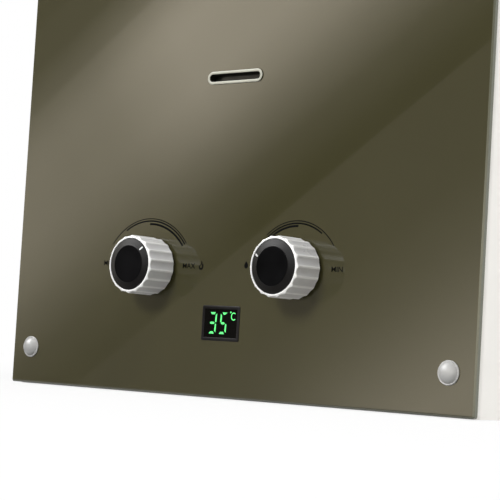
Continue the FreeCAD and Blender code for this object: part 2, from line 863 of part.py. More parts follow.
def make_knob(kind, across):
    knob_rear = front - knob_gap
    floor = knob_length - cap_depth
    bore = spindle_radius + press_gap
    at = (across, knob_rear, knob_up)
    body = turned(f"{kind}_knob", [
        (0, bore), (0, knob_radius - 0.5), (0.5, knob_radius),
        (knob_length - knob_chamfer, knob_radius), (knob_length, knob_radius - knob_chamfer),
        (knob_length, cap_radius), (floor, cap_radius), (floor, 0),
        (spindle_grip, 0), (spindle_grip, bore)], at, (0, -1, 0))
    half_pitch = knob_radius * sine(180 / flute_count)
    flute_radius = (half_pitch * half_pitch + flute_depth * flute_depth) / (2 * flute_depth)
    flute = sketch_on(body, f"{kind}_flute", "YZ_Plane")
    circle(flute, 0, knob_radius - flute_depth + flute_radius, flute_radius)
    groove = pocket(body, flute, reverse=True)
    flutes = body.newObject("PartDesign::PolarPattern", f"{kind}_flutes")
    flutes.Originals = [groove]
    flutes.Axis = (body_plane(body, "X_Axis"), [""])
    flutes.Angle = 360
    flutes.Occurrences = flute_count
    body.Tip = flutes
    rim = cap_radius - press_gap
    turned(f"{kind}_knob_cap", [
        (floor, 0), (floor, rim), (knob_length - 0.5, rim), (knob_length - 0.2, rim - 0.3),
        (knob_length + cap_disc_rise - 0.3, cap_disc_radius + 0.3),
        (knob_length + cap_disc_rise, cap_disc_radius - 0.3),
        (knob_length + cap_disc_rise, 0)], at, (0, -1, 0))
    turned(f"{kind}_spindle", [
        (0, 0), (0, spindle_radius), (spindle_length, spindle_radius), (spindle_length, 0)],
        (across, valve_face + gland_bite, knob_up), (0, -1, 0))


# ---------------------------------------------------------------- valves

def spindle_bore(kind, across):
    """Blind hole in a valve block for its spindle."""
    return rod(f"{kind}_spindle_bore", (across, valve_face, knob_up), "y",
               spindle_radius + running_gap, gland_bite)


def make_glands():
    glands = []
    for kind, across in knob_spots.items():
        glands.append(cut(
            f"{kind}_gland",
            join(f"{kind}_gland_blank",
                 rod(f"{kind}_gland_neck", (across, gland_front, knob_up), "y",
                     gland_radius * 0.7, gland_length),
                 hexagon(f"{kind}_gland_hex", (across, gland_front + gland_neck, knob_up), "y",
                         gland_radius, gland_length - gland_neck)),
            rod(f"{kind}_gland_bore", (across, gland_front, knob_up), "y",
                spindle_radius + running_gap, gland_length)))
    hex_low = valve_low - drain_hex_height
    neck_low = recess_depth - 3
    glands.append(cut(
        "drain_gland",
        join("drain_gland_blank",
             hexagon("drain_gland_hex", (drain_right, valve_axis, hex_low), "z",
                     gland_radius * 0.8, drain_hex_height),
             rod("drain_gland_neck", (drain_right, valve_axis, neck_low), "z", drain_neck,
                 hex_low - neck_low)),
        rod("drain_gland_bore", (drain_right, valve_axis, neck_low), "z",
            spindle_radius + running_gap, valve_low - neck_low)))
    group("gland_nuts", *glands)


def make_gas_valve():
    block = box("gas_block", (-gas_valve_left, valve_face, valve_low),
                (-gas_valve_right, valve_rear, valve_high))
    boss = rod("gas_link_boss", (-gas_valve_right, valve_axis, knob_up), "x",
               gland_radius, link_boss)
    link_bore = rod("gas_link_bore", (-gas_valve_right - rod_bite - 2 * rod_travel, valve_axis,
                                      knob_up),
                    "x", rod_radius + running_gap, rod_bite + 2 * rod_travel + link_boss)
    inlet = rod("gas_inlet_bore", (-knob_out, valve_axis, valve_low), "z", fitting_bore - 2, 16)
    rib_width, rib_edge = 3, 6
    ribs = [
        box(f"gas_rib_{index}", (left, valve_face - 2, valve_low + rib_edge),
            (left + rib_width, valve_face, valve_high - rib_edge))
        for index, left in enumerate((-gas_valve_left + rib_edge,
                                      -gas_valve_right - rib_edge - rib_width))
    ]
    cut("gas_valve_body", join("gas_valve_blank", block, boss, *ribs),
        link_bore, inlet, spindle_bore("gas", -knob_out))

    middle, height = -knob_out - solenoid_left, knob_up + solenoid_rise
    can = rod("solenoid_can", (middle, valve_rear, height), "y", solenoid_radius,
              solenoid_length)
    foot_half, foot_thick = solenoid_radius + 3, 2.5
    foot = box("solenoid_foot", (middle - foot_half, valve_rear, height - foot_half),
               (middle + foot_half, valve_rear + foot_thick, height + foot_half))
    tag_rear = valve_rear + solenoid_length
    tags = [
        box(f"solenoid_tag_{index}", (middle + out - 1, tag_rear, height),
            (middle + out + 1, tag_rear + 5, height + 0.8))
        for index, out in enumerate((-3, 3))
    ]
    join("gas_solenoid", can, foot, *tags)


def make_water_valve():
    outlet_depth = 12
    half_left = water_valve_left - housing_half
    dish_radius = diaphragm_radius - housing_rim
    sheet_radius = diaphragm_radius - diaphragm_edge
    block = box("water_block", (water_valve_left, valve_face, valve_low),
                (water_valve_right, valve_rear, valve_high))
    rear_half = rod("water_half", (half_left, valve_axis, knob_up), "x", diaphragm_radius,
                    housing_half)
    dish = rod("water_dish", (half_left, valve_axis, knob_up), "x", dish_radius,
               housing_half - housing_wall)
    inlet = rod("cold_bore", (cold_right, valve_axis, valve_low), "z", fitting_bore - 2, 14)
    outlet = rod("riser_bore", (water_valve_right - outlet_depth, valve_axis, riser_up), "x",
                 tube_radius - tube_wall, outlet_depth)
    drain = rod("drain_bore", (drain_right, valve_axis, valve_low), "z",
                spindle_radius + running_gap, drain_bite + 1)
    cut("water_valve_body", join("water_valve_blank", block, rear_half), dish, inlet, outlet,
        drain, spindle_bore("water", knob_out),
        *cover_screw_rods("body_bore", half_left, water_valve_left, press_gap))

    rod("diaphragm", (diaphragm_front, valve_axis, knob_up), "x", sheet_radius, diaphragm_thick)
    ring = tube("diaphragm_ring", (diaphragm_front, valve_axis, knob_up), "x", diaphragm_radius,
                diaphragm_edge, diaphragm_thick)
    shell = rod("cover_shell", (cover_left, valve_axis, knob_up), "x", diaphragm_radius,
                diaphragm_front - cover_left)
    nose = rod("cover_nose_boss", (cover_left - cover_nose, valve_axis, knob_up), "x",
               rod_radius * 4, cover_nose)
    cavity = rod("cover_cavity", (cover_left + housing_wall, valve_axis, knob_up), "x",
                 dish_radius, housing_half)
    bore = rod("cover_bore", (cover_left - cover_nose, valve_axis, knob_up), "x",
               rod_radius + running_gap, cover_nose + housing_wall)
    cut("water_valve_cover", join("cover_blank", shell, nose, ring), cavity, bore,
        *cover_screw_rods("cover_bore", cover_left, half_left, press_gap))

    shanks = cover_screw_rods("cover_shank", cover_left, water_valve_left - 1)
    heads = cover_screw_rods("cover_head", cover_left - cover_screw_head, cover_left,
                             cover_screw_radius * 0.7)
    group("cover_screws", *[
        join(f"cover_screw_{index}", *pair) for index, pair in enumerate(zip(shanks, heads))
    ])


def cover_screw_rods(name, left, right, wider=0.0):
    """A ring of rods along X, where the cover's screws go."""
    reach = diaphragm_radius - cover_screw_edge
    rods = []
    for index in range(cover_screw_count):
        angle = 360 * (index + 0.5) / cover_screw_count
        at = (left, valve_axis + reach * cosine(angle), knob_up + reach * sine(angle))
        rods.append(rod(f"{name}_{index}", at, "x", cover_screw_radius + wider, right - left))
    return rods


def make_link():
    """Push rod that the diaphragm drives into the gas valve, with its spring and switch."""
    stem_left = -gas_valve_right - rod_bite
    stem = rod("link_stem", (stem_left, valve_axis, knob_up), "x", rod_radius,
               link_end - stem_left)
    plate = rod("link_plate", (link_end - rod_plate_thick, valve_axis, knob_up), "x",
                rod_plate_radius, rod_plate_thick)
    collar = rod("link_collar", (collar_face, valve_axis, knob_up), "x", collar_radius,
                 collar_thick)
    join("push_rod", stem, plate, collar)

    spring_start = -gas_valve_right + link_boss
    spring_length = collar_face - spring_start - spring_wire * 2
    helix = Part.makeHelix(spring_length.value / spring_turns, spring_length.value,
                           spring_radius.value)
    section = Part.Wire(Part.makeCircle(spring_wire.value, Vector(spring_radius.value, 0, 0),
                                        Vector(0, 1, 0)))
    spring = doc.addObject("Part::Feature", "return_spring")
    spring.Shape = Part.Wire(helix.Edges).makePipeShell([section], True, True)
    place(spring, (spring_start + spring_wire, valve_axis, knob_up), TO_AXIS["x"])
    make_water_switch()


def make_water_switch():
    """Small switch on the gas valve, and the lever that the push rod's collar tips."""
    half, ear_thick_here = 6, 1.6
    case_low = lever_pivot_up + lever_hub + 1.3
    case_left, case_right = lever_axis - half, lever_axis + 16
    case = box("switch_case", (case_left, valve_axis - half, case_low),
               (case_right, valve_axis + half, case_low + 10))
    bracket = box("switch_bracket", (-gas_valve_right, valve_axis - half, case_low + 3),
                  (case_left, valve_axis + half, case_low + 3 + ear_thick_here))
    ears = [
        box(f"switch_ear_{index}", (lever_axis - 3, valve_axis + low, lever_pivot_up - 2),
            (lever_axis + 3, valve_axis + high, case_low))
        for index, (low, high) in enumerate((
            (-half, -half + ear_thick_here), (half - ear_thick_here, half)))
    ]
    pin = rod("switch_pin", (lever_axis, valve_axis - half, lever_pivot_up), "y", lever_pin,
              2 * half)
    join("micro_switch", case, bracket, pin, *ears)

    hub_half, arm_half = 4, 2.5
    toe_low = knob_up + lever_toe_up
    arm_left = lever_axis - lever_thick / 2
    hub = rod("lever_hub_rod", (lever_axis, valve_axis - hub_half, lever_pivot_up), "y",
              lever_hub, 2 * hub_half)
    arm = box("lever_arm", (arm_left, valve_axis - arm_half, toe_low),
              (arm_left + lever_thick, valve_axis + arm_half, lever_pivot_up))
    toe = box("lever_toe", (arm_left, valve_axis - arm_half, toe_low),
              (collar_face - touch_gap, valve_axis + arm_half, toe_low + 1))
    cut("switch_lever", join("lever_blank", hub, arm, toe),
        rod("lever_bore", (lever_axis, valve_axis - hub_half, lever_pivot_up), "y",
            lever_pin + running_gap, 2 * hub_half))


# ---------------------------------------------------------------- fittings and pipes

def threaded_fitting(name, across, top):
    """Male pipe fitting that hangs under the floor plate, its hexagon against the plate."""
    hex_low = recess_depth - hex_height
    relief = thread_radius - 1.2
    length = lift(top) - fitting_ground
    shell = turned(f"{name}_turning", [
        (0, fitting_bore), (0, relief), (1, thread_radius), (thread_length, thread_radius),
        (thread_length + 1, relief), (length, relief), (length, fitting_bore)],
        (across, valve_axis, fitting_ground), (0, 0, 1))
    nut = hexagon(f"{name}_hex", (across, valve_axis, hex_low), "z", fitting_hex, hex_height)
    lock = hexagon(f"{name}_lock", (across, valve_axis, recess_depth + sheet_thick), "z",
                   fitting_hex - 1, lock_height)
    bore = rod(f"{name}_bore", (across, valve_axis, hex_low), "z", fitting_bore,
               lift(top) - hex_low)
    cut(name, join(f"{name}_blank", shell, nut, lock), bore)


def make_fittings():
    threaded_fitting("gas_inlet", -knob_out, valve_low)
    threaded_fitting("cold_water_inlet", cold_right, valve_low)
    threaded_fitting("hot_water_outlet", -hot_left, valve_low)
    grip_low = fitting_ground + drain_clear
    grip_length = recess_depth - 2 * drain_clear - grip_low - spindle_radius
    round_off = 1
    stem_low = grip_low + grip_length / 2
    stem = rod("drain_stem", (drain_right, valve_axis, stem_low), "z", spindle_radius,
               valve_low + drain_bite - stem_low)
    grip = turned("drain_grip_disc", [
        (0, 0), (0, drain_grip - round_off), (round_off, drain_grip),
        (grip_length - round_off, drain_grip), (grip_length, drain_grip - round_off),
        (grip_length, 0)],
        (drain_right, valve_axis, grip_low), (0, 0, 1))
    wing_half = 1.6
    wings = box("drain_wings",
                (drain_right - drain_wing, valve_axis - wing_half, grip_low + round_off),
                (drain_right + drain_wing, valve_axis + wing_half,
                 grip_low + grip_length - round_off))
    join("drain_knob", stem, grip, wings)


def make_water_route():
    """The coil: from the water valve round the chamber's walls and up to the exchanger."""
    first_up = chamber_low + 2 * tube_radius
    corners = [(coil_side, coil_rear), (-coil_side, coil_rear),
               (-coil_side, coil_front), (coil_side, coil_front)]
    points = [
        (water_valve_right, valve_axis, riser_up),
        (coil_side, valve_axis, riser_up),
        (coil_side, valve_axis, first_up),
    ]
    points += [(*corners[run % 4], first_up + coil_rise * run) for run in range(coil_runs)]
    points[-1] = (-riser_side, coil_rear, first_up + coil_rise * (coil_runs - 1))
    points += [
        (-riser_side, coil_rear, tube_up - 26),
        (-riser_side, tube_first, tube_up),
        (-header_side, tube_first, tube_up),
    ]
    bent_tube("heating_coil", points, tube_radius, tube_bend, tube_wall)


def make_exchanger():
    """Hairpin tubes through the fins, and in and out at the left."""
    turn_side = header_side + 8
    serpentine = [(-header_side, tube_first, tube_up)]
    for row in range(tube_rows):
        near, far = (-1, 1) if row % 2 == 0 else (1, -1)
        deep = tube_first - tube_pitch * row
        if row:
            serpentine.append((near * turn_side, deep, tube_up))
        if row < tube_rows - 1:
            serpentine.append((far * turn_side, deep, tube_up))
    serpentine.append((-header_side, tube_last, tube_up))
    bent_tube("exchanger_tubes", serpentine, tube_radius, tube_pitch / 2, tube_wall)


def make_hot_pipe():
    bent_tube("hot_pipe", [
        (-header_side, tube_last, tube_up),
        (-hot_pipe_side, tube_last, tube_up),
        (-hot_pipe_side, tube_last, valve_high + 34),
        (-hot_left, valve_axis, valve_high),
        (-hot_left, valve_axis, valve_low)], tube_radius, hot_bend, tube_wall)


# ---------------------------------------------------------------- case

def make_rear_case():
    body = new_body("case_shell")
    shell = sketch_on(body, "case_outline", "XY_Plane")
    rounded(shell, -case_half, case_front, case_half, case_rear, bend_radius)
    pad(body, shell, case_height)
    hollow = sketch_on(body, "case_hollow", "XY_Plane", case_height)
    rounded(hollow, -inner_half, inner_front, inner_half, inner_rear, bend_radius - sheet_thick)
    pocket(body, hollow, case_height - sheet_thick)
    floor = sketch_on(body, "case_floor_opening", "XY_Plane", sheet_thick)
    rounded(floor, -inner_half + rim_width, inner_front + rim_width,
            inner_half - rim_width, inner_rear - rim_width, bend_radius)
    pocket(body, floor)
    mouth = sketch_on(body, "case_mouth", "XZ_Plane", -case_front)
    rectangle(mouth, -case_half + front_flange, sill_height,
              case_half - front_flange, case_height - sill_height)
    pocket(body, mouth, sheet_thick)
    corner_holes = sketch_on(body, "case_corner_holes", "XZ_Plane", -case_front)
    for across, height in screw_spots:
        circle(corner_holes, across, height, corner_shank + press_gap)
    pocket(body, corner_holes, sheet_thick)
    back_louvre = sketch_on(body, "back_louvre", "XZ_Plane", -case_rear)
    for side in (-1, 0, 1):
        oblong(back_louvre, side * (louvre_length + louvre_side_gap), louvre_floor, louvre_length,
               louvre_height)
    repeat(body, pocket(body, back_louvre, sheet_thick, reverse=True), "Z_Axis",
           louvre_count, louvre_pitch)
    side_louvre = sketch_on(body, "side_louvre", "YZ_Plane", case_half)
    oblong(side_louvre, case_front + case_depth / 2, louvre_floor, louvre_length, louvre_height)
    repeat(body, pocket(body, side_louvre), "Z_Axis", louvre_count, louvre_pitch)
    door_hole = sketch_on(body, "door_opening", "YZ_Plane", -case_half)
    rectangle(door_hole, door_front, door_low, door_rear, door_high)
    pocket(body, door_hole, sheet_thick, reverse=True)
    fixings = sketch_on(body, "side_screw_holes", "YZ_Plane", case_half)
    for deep, height in lid_screw_spots + floor_screw_spots:
        circle(fixings, deep, height, case_screw_radius + press_gap)
    pocket(body, fixings)
    rear_fixings = sketch_on(body, "bracket_screw_holes", "XZ_Plane", -case_rear)
    for across, height in hanger_screw_spots + spacer_screw_spots:
        circle(rear_fixings, across, height, corner_shank + press_gap)
    pocket(body, rear_fixings, sheet_thick, reverse=True)
    join("rear_case", body, doc.getObject("weld_nuts"))


def make_top_plate():
    body = new_body("top_plate")
    lid = sketch_on(body, "lid_outline", "XY_Plane", case_height)
    rounded(lid, -case_half, case_front, case_half, case_rear, bend_radius)
    pad(body, lid, sheet_thick)
    skirt = sketch_on(body, "lid_skirt", "XY_Plane", case_height)
    rounded(skirt, -inner_half + seam_gap, inner_front + seam_gap,
            inner_half - seam_gap, inner_rear - seam_gap, bend_radius - sheet_thick)
    rounded(skirt, -inner_half + seam_gap + sheet_thick, inner_front + seam_gap + sheet_thick,
            inner_half - seam_gap - sheet_thick, inner_rear - seam_gap - sheet_thick,
            bend_radius - 2 * sheet_thick)
    pad(body, skirt, skirt_height, reverse=True)
    holes = sketch_on(body, "lid_holes", "XY_Plane", panel_height)
    circle(holes, 0, flue_axis, flue_radius + plate_gap)
    pocket(body, holes)
    fixings = sketch_on(body, "lid_screw_holes", "YZ_Plane", case_half)
    for deep, height in lid_screw_spots:
        circle(fixings, deep, height, case_screw_radius + press_gap)
    pocket(body, fixings)


def make_bottom_plate():
    body = new_body("bottom_plate")
    edge = inner_half - seam_gap
    near, far = inner_front + seam_gap, inner_rear - seam_gap
    floor = sketch_on(body, "floor_outline", "XY_Plane", recess_depth + sheet_thick)
    rounded(floor, -edge, near, edge, far, bend_radius - sheet_thick)
    pad(body, floor, skirt_height, reverse=True)
    skirt_low = recess_depth + sheet_thick - skirt_height
    tray = sketch_on(body, "floor_hollow", "XY_Plane", skirt_low)
    rounded(tray, -edge + sheet_thick, near + sheet_thick, edge - sheet_thick,
            far - sheet_thick, bend_radius - 2 * sheet_thick)
    pocket(body, tray, skirt_height - sheet_thick, reverse=True)
    notches = sketch_on(body, "floor_nut_notches", "XY_Plane", recess_depth)
    for side in (-1, 1):
        left, right = sorted((side * (edge + 1), side * (panel_width / 2 - corner_in - nut_across)),
                             key=lambda number: number.value)
        rectangle(notches, left, near - 1, right, near + nut_thick + 1)
    pocket(body, notches, skirt_height)
    holes = sketch_on(body, "floor_holes", "XY_Plane", recess_depth + sheet_thick)
    for across in (-hot_left, -knob_out, cold_right):
        circle(holes, across, valve_axis, thread_radius + plate_gap)
    circle(holes, drain_right, valve_axis, drain_neck + plate_gap)
    pocket(body, holes)
    fixings = sketch_on(body, "floor_screw_holes", "YZ_Plane", case_half)
    for deep, height in floor_screw_spots:
        circle(fixings, deep, height, case_screw_radius + press_gap)
    pocket(body, fixings)


def make_case_screws():
    screws = []
    for side, name in ((-1, "left"), (1, "right")):
        for index, (deep, height) in enumerate(lid_screw_spots + floor_screw_spots):
            outer = case_half if side > 0 else -case_half - case_screw_head_height
            inner = case_half - case_screw_length if side > 0 else -case_half
            head = rod(f"{name}_head_{index}", (outer, deep, height), "x", case_screw_head,
                       case_screw_head_height)
            shank = rod(f"{name}_shank_{index}", (inner, deep, height), "x", case_screw_radius,
                        case_screw_length)
            screws.append(join(f"{name}_screw_{index}", head, shank))
    group("case_screws", *screws)


def make_wall_brackets():
    rear_of_pad = wall_face - bracket_thick
    hanger_top = panel_height + bracket_above
    strip = box("bracket_strip", (-bracket_half, rear_of_pad, panel_height - bracket_drop),
                (bracket_half, wall_face, hanger_top))
    pads = [
        box(f"bracket_pad_{index}", (across - bracket_pad, case_rear, height - bracket_pad),
            (across + bracket_pad, rear_of_pad, height + bracket_pad))
        for index, (across, height) in enumerate(hanger_screw_spots)
    ]
    wall_holes = [
        rod(f"wall_hole_{index}",
            (side * bracket_hole_out, rear_of_pad, panel_height + bracket_above / 2),
            "y", bracket_hole, bracket_thick)
        for index, side in enumerate((-1, 1))
    ]
    gap = box("bracket_gap", (-bracket_gap_half, rear_of_pad, panel_height - bracket_pad),
              (bracket_gap_half, wall_face, hanger_top))
    hanger = cut("upper_bracket", join("bracket_blank", strip, *pads), gap, *wall_holes,
                 *bracket_screw_rods("hanger_bore", hanger_screw_spots, press_gap))
    spacer_up = recess_depth + spacer_rise
    spacer = box("spacer_block", (-spacer_half, case_rear, spacer_up - bracket_pad),
                 (spacer_half, wall_face, spacer_up + bracket_pad))
    foot = cut("lower_spacer", spacer,
               *bracket_screw_rods("spacer_bore", spacer_screw_spots, press_gap))
    group("wall_brackets", hanger, foot)

    head_height = corner_shank * 1.2
    shanks = bracket_screw_rods("bracket_shank", hanger_screw_spots + spacer_screw_spots)
    screws = []
    for index, (across, height) in enumerate(hanger_screw_spots + spacer_screw_spots):
        head = rod(f"bracket_head_{index}", (across, inner_rear - head_height, height), "y",
                   corner_shank * 1.8, head_height)
        screws.append(join(f"bracket_screw_{index}", head, shanks[index]))
    group("bracket_screws", *screws)


def bracket_screw_rods(name, spots, wider=0.0):
    """Rods along Y from inside the case into the brackets, where the screws go."""
    return [
        rod(f"{name}_{index}", (across, inner_rear, height), "y", corner_shank + wider,
            wall_gap - bracket_thick + sheet_thick)
        for index, (across, height) in enumerate(spots)
    ]


# ---------------------------------------------------------------- burner and gas train

def make_burner():
    near, far = front + burner_front, front + burner_rear
    bar_low = tray_low + 2
    port_depth = 3
    nozzle_up = burner_low + nozzle_rise
    bars, nozzles = [], []
    for index in range(bar_count):
        middle = -burner_half + bar_pitch * (index + 0.5)
        left, right = middle - bar_thick / 2, middle + bar_thick / 2
        upper = box(f"bar_top_{index}", (left, near, bar_low), (right, far, burner_high))
        throat = box(f"bar_throat_{index}", (left + 1, manifold_rear + nozzle_length, burner_low),
                     (right - 1, far, bar_low))
        port_starts = [near + port_length + port_pitch * port for port in range(port_count)]
        ports = [
            box(f"bar_port_{index}_{port}", (left + 2, start, burner_high - port_depth),
                (right - 2, start + port_length, burner_high))
            for port, start in enumerate(port_starts)
        ]
        bars.append(cut(f"burner_bar_{index}", join(f"bar_{index}", upper, throat), *ports))
        nozzles.append(rod(f"nozzle_{index}", (middle, manifold_rear, nozzle_up), "y",
                           nozzle_radius, nozzle_length))
    group("burner_bars", *bars)
    group("gas_nozzles", *nozzles)

    side = burner_half + sheet_thick
    walls = frame_box("tray_walls", (-side, near - sheet_thick, tray_low),
                      (side, far + sheet_thick, chamber_low), sheet_thick)
    flange = frame_box("tray_rim",
                       (-chamber_half, front + chamber_front, chamber_low - sheet_thick),
                       (chamber_half, front + chamber_rear, chamber_low), tray_flange)
    lug_half, lug_thick, lug_rise = 12, 2, 8
    lugs = [
        box(f"tray_lug_{index}", (across - lug_half, far + sheet_thick, tray_low + lug_rise),
            (across + lug_half, inner_rear, tray_low + lug_rise + lug_thick))
        for index, across in enumerate((-burner_half * 0.7, burner_half * 0.7))
    ]
    join("burner_tray", walls, flange, *lugs)


def make_manifold():
    """Closed square tube along the nozzles, fed by a pipe from the gas valve."""
    feed_deep = (manifold_front + manifold_rear) / 2
    bar = cut(
        "manifold_bar",
        box("manifold_block", (-burner_half, manifold_front, manifold_low),
            (burner_half, manifold_rear, manifold_high)),
        box("manifold_bore",
            (-burner_half, manifold_front + manifold_wall, manifold_low + manifold_wall),
            (burner_half, manifold_rear - manifold_wall, manifold_high - manifold_wall)),
        rod("manifold_feed", (-knob_out, feed_deep, manifold_low), "z",
            riser_radius - riser_wall, manifold_wall))
    caps = [
        box(f"manifold_cap_{index}", (across, manifold_front, manifold_low),
            (across + manifold_wall, manifold_rear, manifold_high))
        for index, across in enumerate((-burner_half - manifold_wall, burner_half))
    ]
    riser = tube("gas_riser", (-knob_out, feed_deep, valve_high), "z", riser_radius, riser_wall,
                 manifold_low - valve_high)
    join("gas_manifold", bar, riser, *caps)


def make_chamber():
    near, far = front + chamber_front, front + chamber_rear
    sight_half, sight_low, sight_height = 44, 2, 18
    shell = frame_box("chamber_shell", (-chamber_half, near, chamber_low),
                      (chamber_half, far, exchanger_low), sheet_thick)
    sight = box("chamber_sight", (-sight_half, near, chamber_low + sight_low),
                (sight_half, near + sheet_thick, chamber_low + sight_low + sight_height))
    casing = frame_box("casing_shell", (-chamber_half, near, exchanger_low),
                       (chamber_half, far, exchanger_high), sheet_thick)
    join("combustion_chamber", cut("firebox", shell, sight),
         cut("exchanger_casing", casing, *tube_passes("casing")))
    fin_pitch = 2 * (chamber_half - sheet_thick) / (fin_count + 1)
    fin_margin = 2
    fins = []
    for index in range(fin_count):
        middle = -chamber_half + sheet_thick + fin_pitch * (index + 1)
        fins.append(box(
            f"fin_{index}",
            (middle - fin_thick / 2, near + sheet_thick, exchanger_low + fin_margin),
            (middle + fin_thick / 2, far - sheet_thick, exchanger_high - fin_margin)))
    cut("exchanger_fins", group("fin_blanks", *fins), *tube_passes("fins"))
    rod("overheat_switch", (chamber_half, front + flue_back, exchanger_low - 12), "x", 8, 6)


def tube_passes(name):
    """Holes for the exchanger's tubes."""
    return [
        rod(f"{name}_pass_{row}", (-chamber_half, tube_first - tube_pitch * row, tube_up), "x",
            tube_radius + press_gap, 2 * chamber_half)
        for row in range(tube_rows)
    ]


def make_ignition():
    """Two spark electrodes and a flame probe, in one plate on the chamber's front."""
    plate_rear = front + chamber_front
    plate_thick, plate_margin = 1.2, 8
    height = chamber_low + 8
    spots = [(name, -electrode_left + electrode_pitch * index)
             for index, name in enumerate(("spark_left", "spark_right", "probe"))]
    plate = box("igniter_plate",
                (spots[0][1] - plate_margin, plate_rear - plate_thick, height - 2 * plate_margin),
                (spots[-1][1] + plate_margin, plate_rear, height + plate_margin))
    holes = [rod(f"igniter_hole_{name}", (across, plate_rear - plate_thick, height), "y",
                 electrode_radius + press_gap, plate_thick) for name, across in spots]
    cut("electrode_bracket", plate, *holes)
    rods = [
        join(f"{name}_electrode",
             rod(f"{name}_ceramic", (across, plate_rear - 12, height), "y", electrode_radius, 22),
             rod(f"{name}_wire", (across, plate_rear - 18, height), "y", 0.9, 44))
        for name, across in spots
    ]
    group("ignition_electrodes", *rods)


# ---------------------------------------------------------------- flue

def make_hood():
    body = new_body("exhaust_hood")
    shoulder = hood_high - hood_neck
    upper_half = flue_radius + hood_side
    upper_reach = flue_radius + hood_reach
    sections = {}
    for kind, wall in (("outer", 0), ("inner", sheet_thick)):
        low = sketch_on(body, f"hood_{kind}_low", "XY_Plane", exchanger_high)
        rectangle(low, -chamber_half + wall, front + chamber_front + wall,
                  chamber_half - wall, front + chamber_rear - wall)
        high = sketch_on(body, f"hood_{kind}_high", "XY_Plane", shoulder)
        rectangle(high, -upper_half + wall, flue_axis - upper_reach + wall,
                  upper_half - wall, flue_axis + upper_reach - wall)
        sections[kind] = (low, high)
    for kind, feature in (("outer", "AdditiveLoft"), ("inner", "SubtractiveLoft")):
        low, high = sections[kind]
        loft = body.newObject(f"PartDesign::{feature}", f"hood_{kind}_funnel")
        loft.Profile, loft.Sections, loft.Ruled = low, [high], True
    crown = sketch_on(body, "hood_crown", "XY_Plane", shoulder)
    rectangle(crown, -upper_half, flue_axis - upper_reach, upper_half, flue_axis + upper_reach)
    pad(body, crown, hood_neck)
    room = sketch_on(body, "hood_room", "XY_Plane", shoulder)
    rectangle(room, -upper_half + sheet_thick, flue_axis - upper_reach + sheet_thick,
              upper_half - sheet_thick, flue_axis + upper_reach - sheet_thick)
    pocket(body, room, hood_neck - sheet_thick, reverse=True)
    mouth = sketch_on(body, "hood_mouth", "XY_Plane", hood_high)
    circle(mouth, 0, flue_axis, flue_radius - flue_step - liner_thick)
    pocket(body, mouth, sheet_thick)


def make_flue_collar():
    """Collar on the hood: narrower inside the case, and full size where a flue slides over it."""
    height = flue_top - hood_high
    neck = flue_radius - flue_step
    step_low = hood_drop + sheet_thick / 2
    step_high = step_low + flue_step
    turned("flue_collar", [
        (0, neck - liner_thick), (0, neck + flue_foot), (liner_thick, neck + flue_foot),
        (liner_thick, neck), (step_low, neck), (step_high, flue_radius),
        (height, flue_radius), (height, flue_radius - liner_thick),
        (step_high, flue_radius - liner_thick), (step_low, neck - liner_thick)],
        (0, flue_axis, hood_high), (0, 0, 1))


# ---------------------------------------------------------------- handle

def make_handle():
    cross = handle_axis + handle_reach
    rod_end = ear_far + handle_rod - 2
    bent_tube("carry_handle", [
        (-rod_end, handle_axis, handle_up), (-handle_half, handle_axis, handle_up),
        (-handle_half, cross, handle_up), (handle_half, cross, handle_up),
        (handle_half, handle_axis, handle_up), (rod_end, handle_axis, handle_up)],
        handle_rod, handle_bend)
    tube("handle_grip", (-grip_half, cross, handle_up), "x", grip_radius,
         grip_radius - handle_rod - press_gap, 2 * grip_half)
    foot_top = panel_height + ear_foot_thick
    ears = []
    for side, name in ((-1, "left"), (1, "right")):
        near, far = sorted((side * ear_near, side * ear_far), key=lambda edge: edge.value)
        foot_near, foot_far = sorted((side * ear_near, side * (ear_far + ear_foot)),
                                     key=lambda edge: edge.value)
        upright = box(f"{name}_ear_plate", (near, handle_axis - ear_half, panel_height),
                      (far, handle_axis + ear_half, handle_up + 2 * handle_rod))
        foot = box(f"{name}_ear_base", (foot_near, handle_axis - ear_half - 2, panel_height),
                   (foot_far, handle_axis + ear_half + 2, foot_top))
        bore = rod(f"{name}_ear_bore", (near, handle_axis, handle_up), "x",
                   handle_rod + running_gap, ear_thick)
        rivets = [
            rod(f"{name}_ear_rivet_{index}",
                (side * (ear_far + ear_foot / 2), handle_axis + deep, foot_top), "z",
                ear_rivet, 1)
            for index, deep in enumerate((-ear_half + ear_rivet, ear_half - ear_rivet))
        ]
        ears.append(cut(f"{name}_ear", join(f"{name}_ear_blank", upright, foot, *rivets), bore))
    group("handle_ears", *ears)


# ---------------------------------------------------------------- batteries and control box

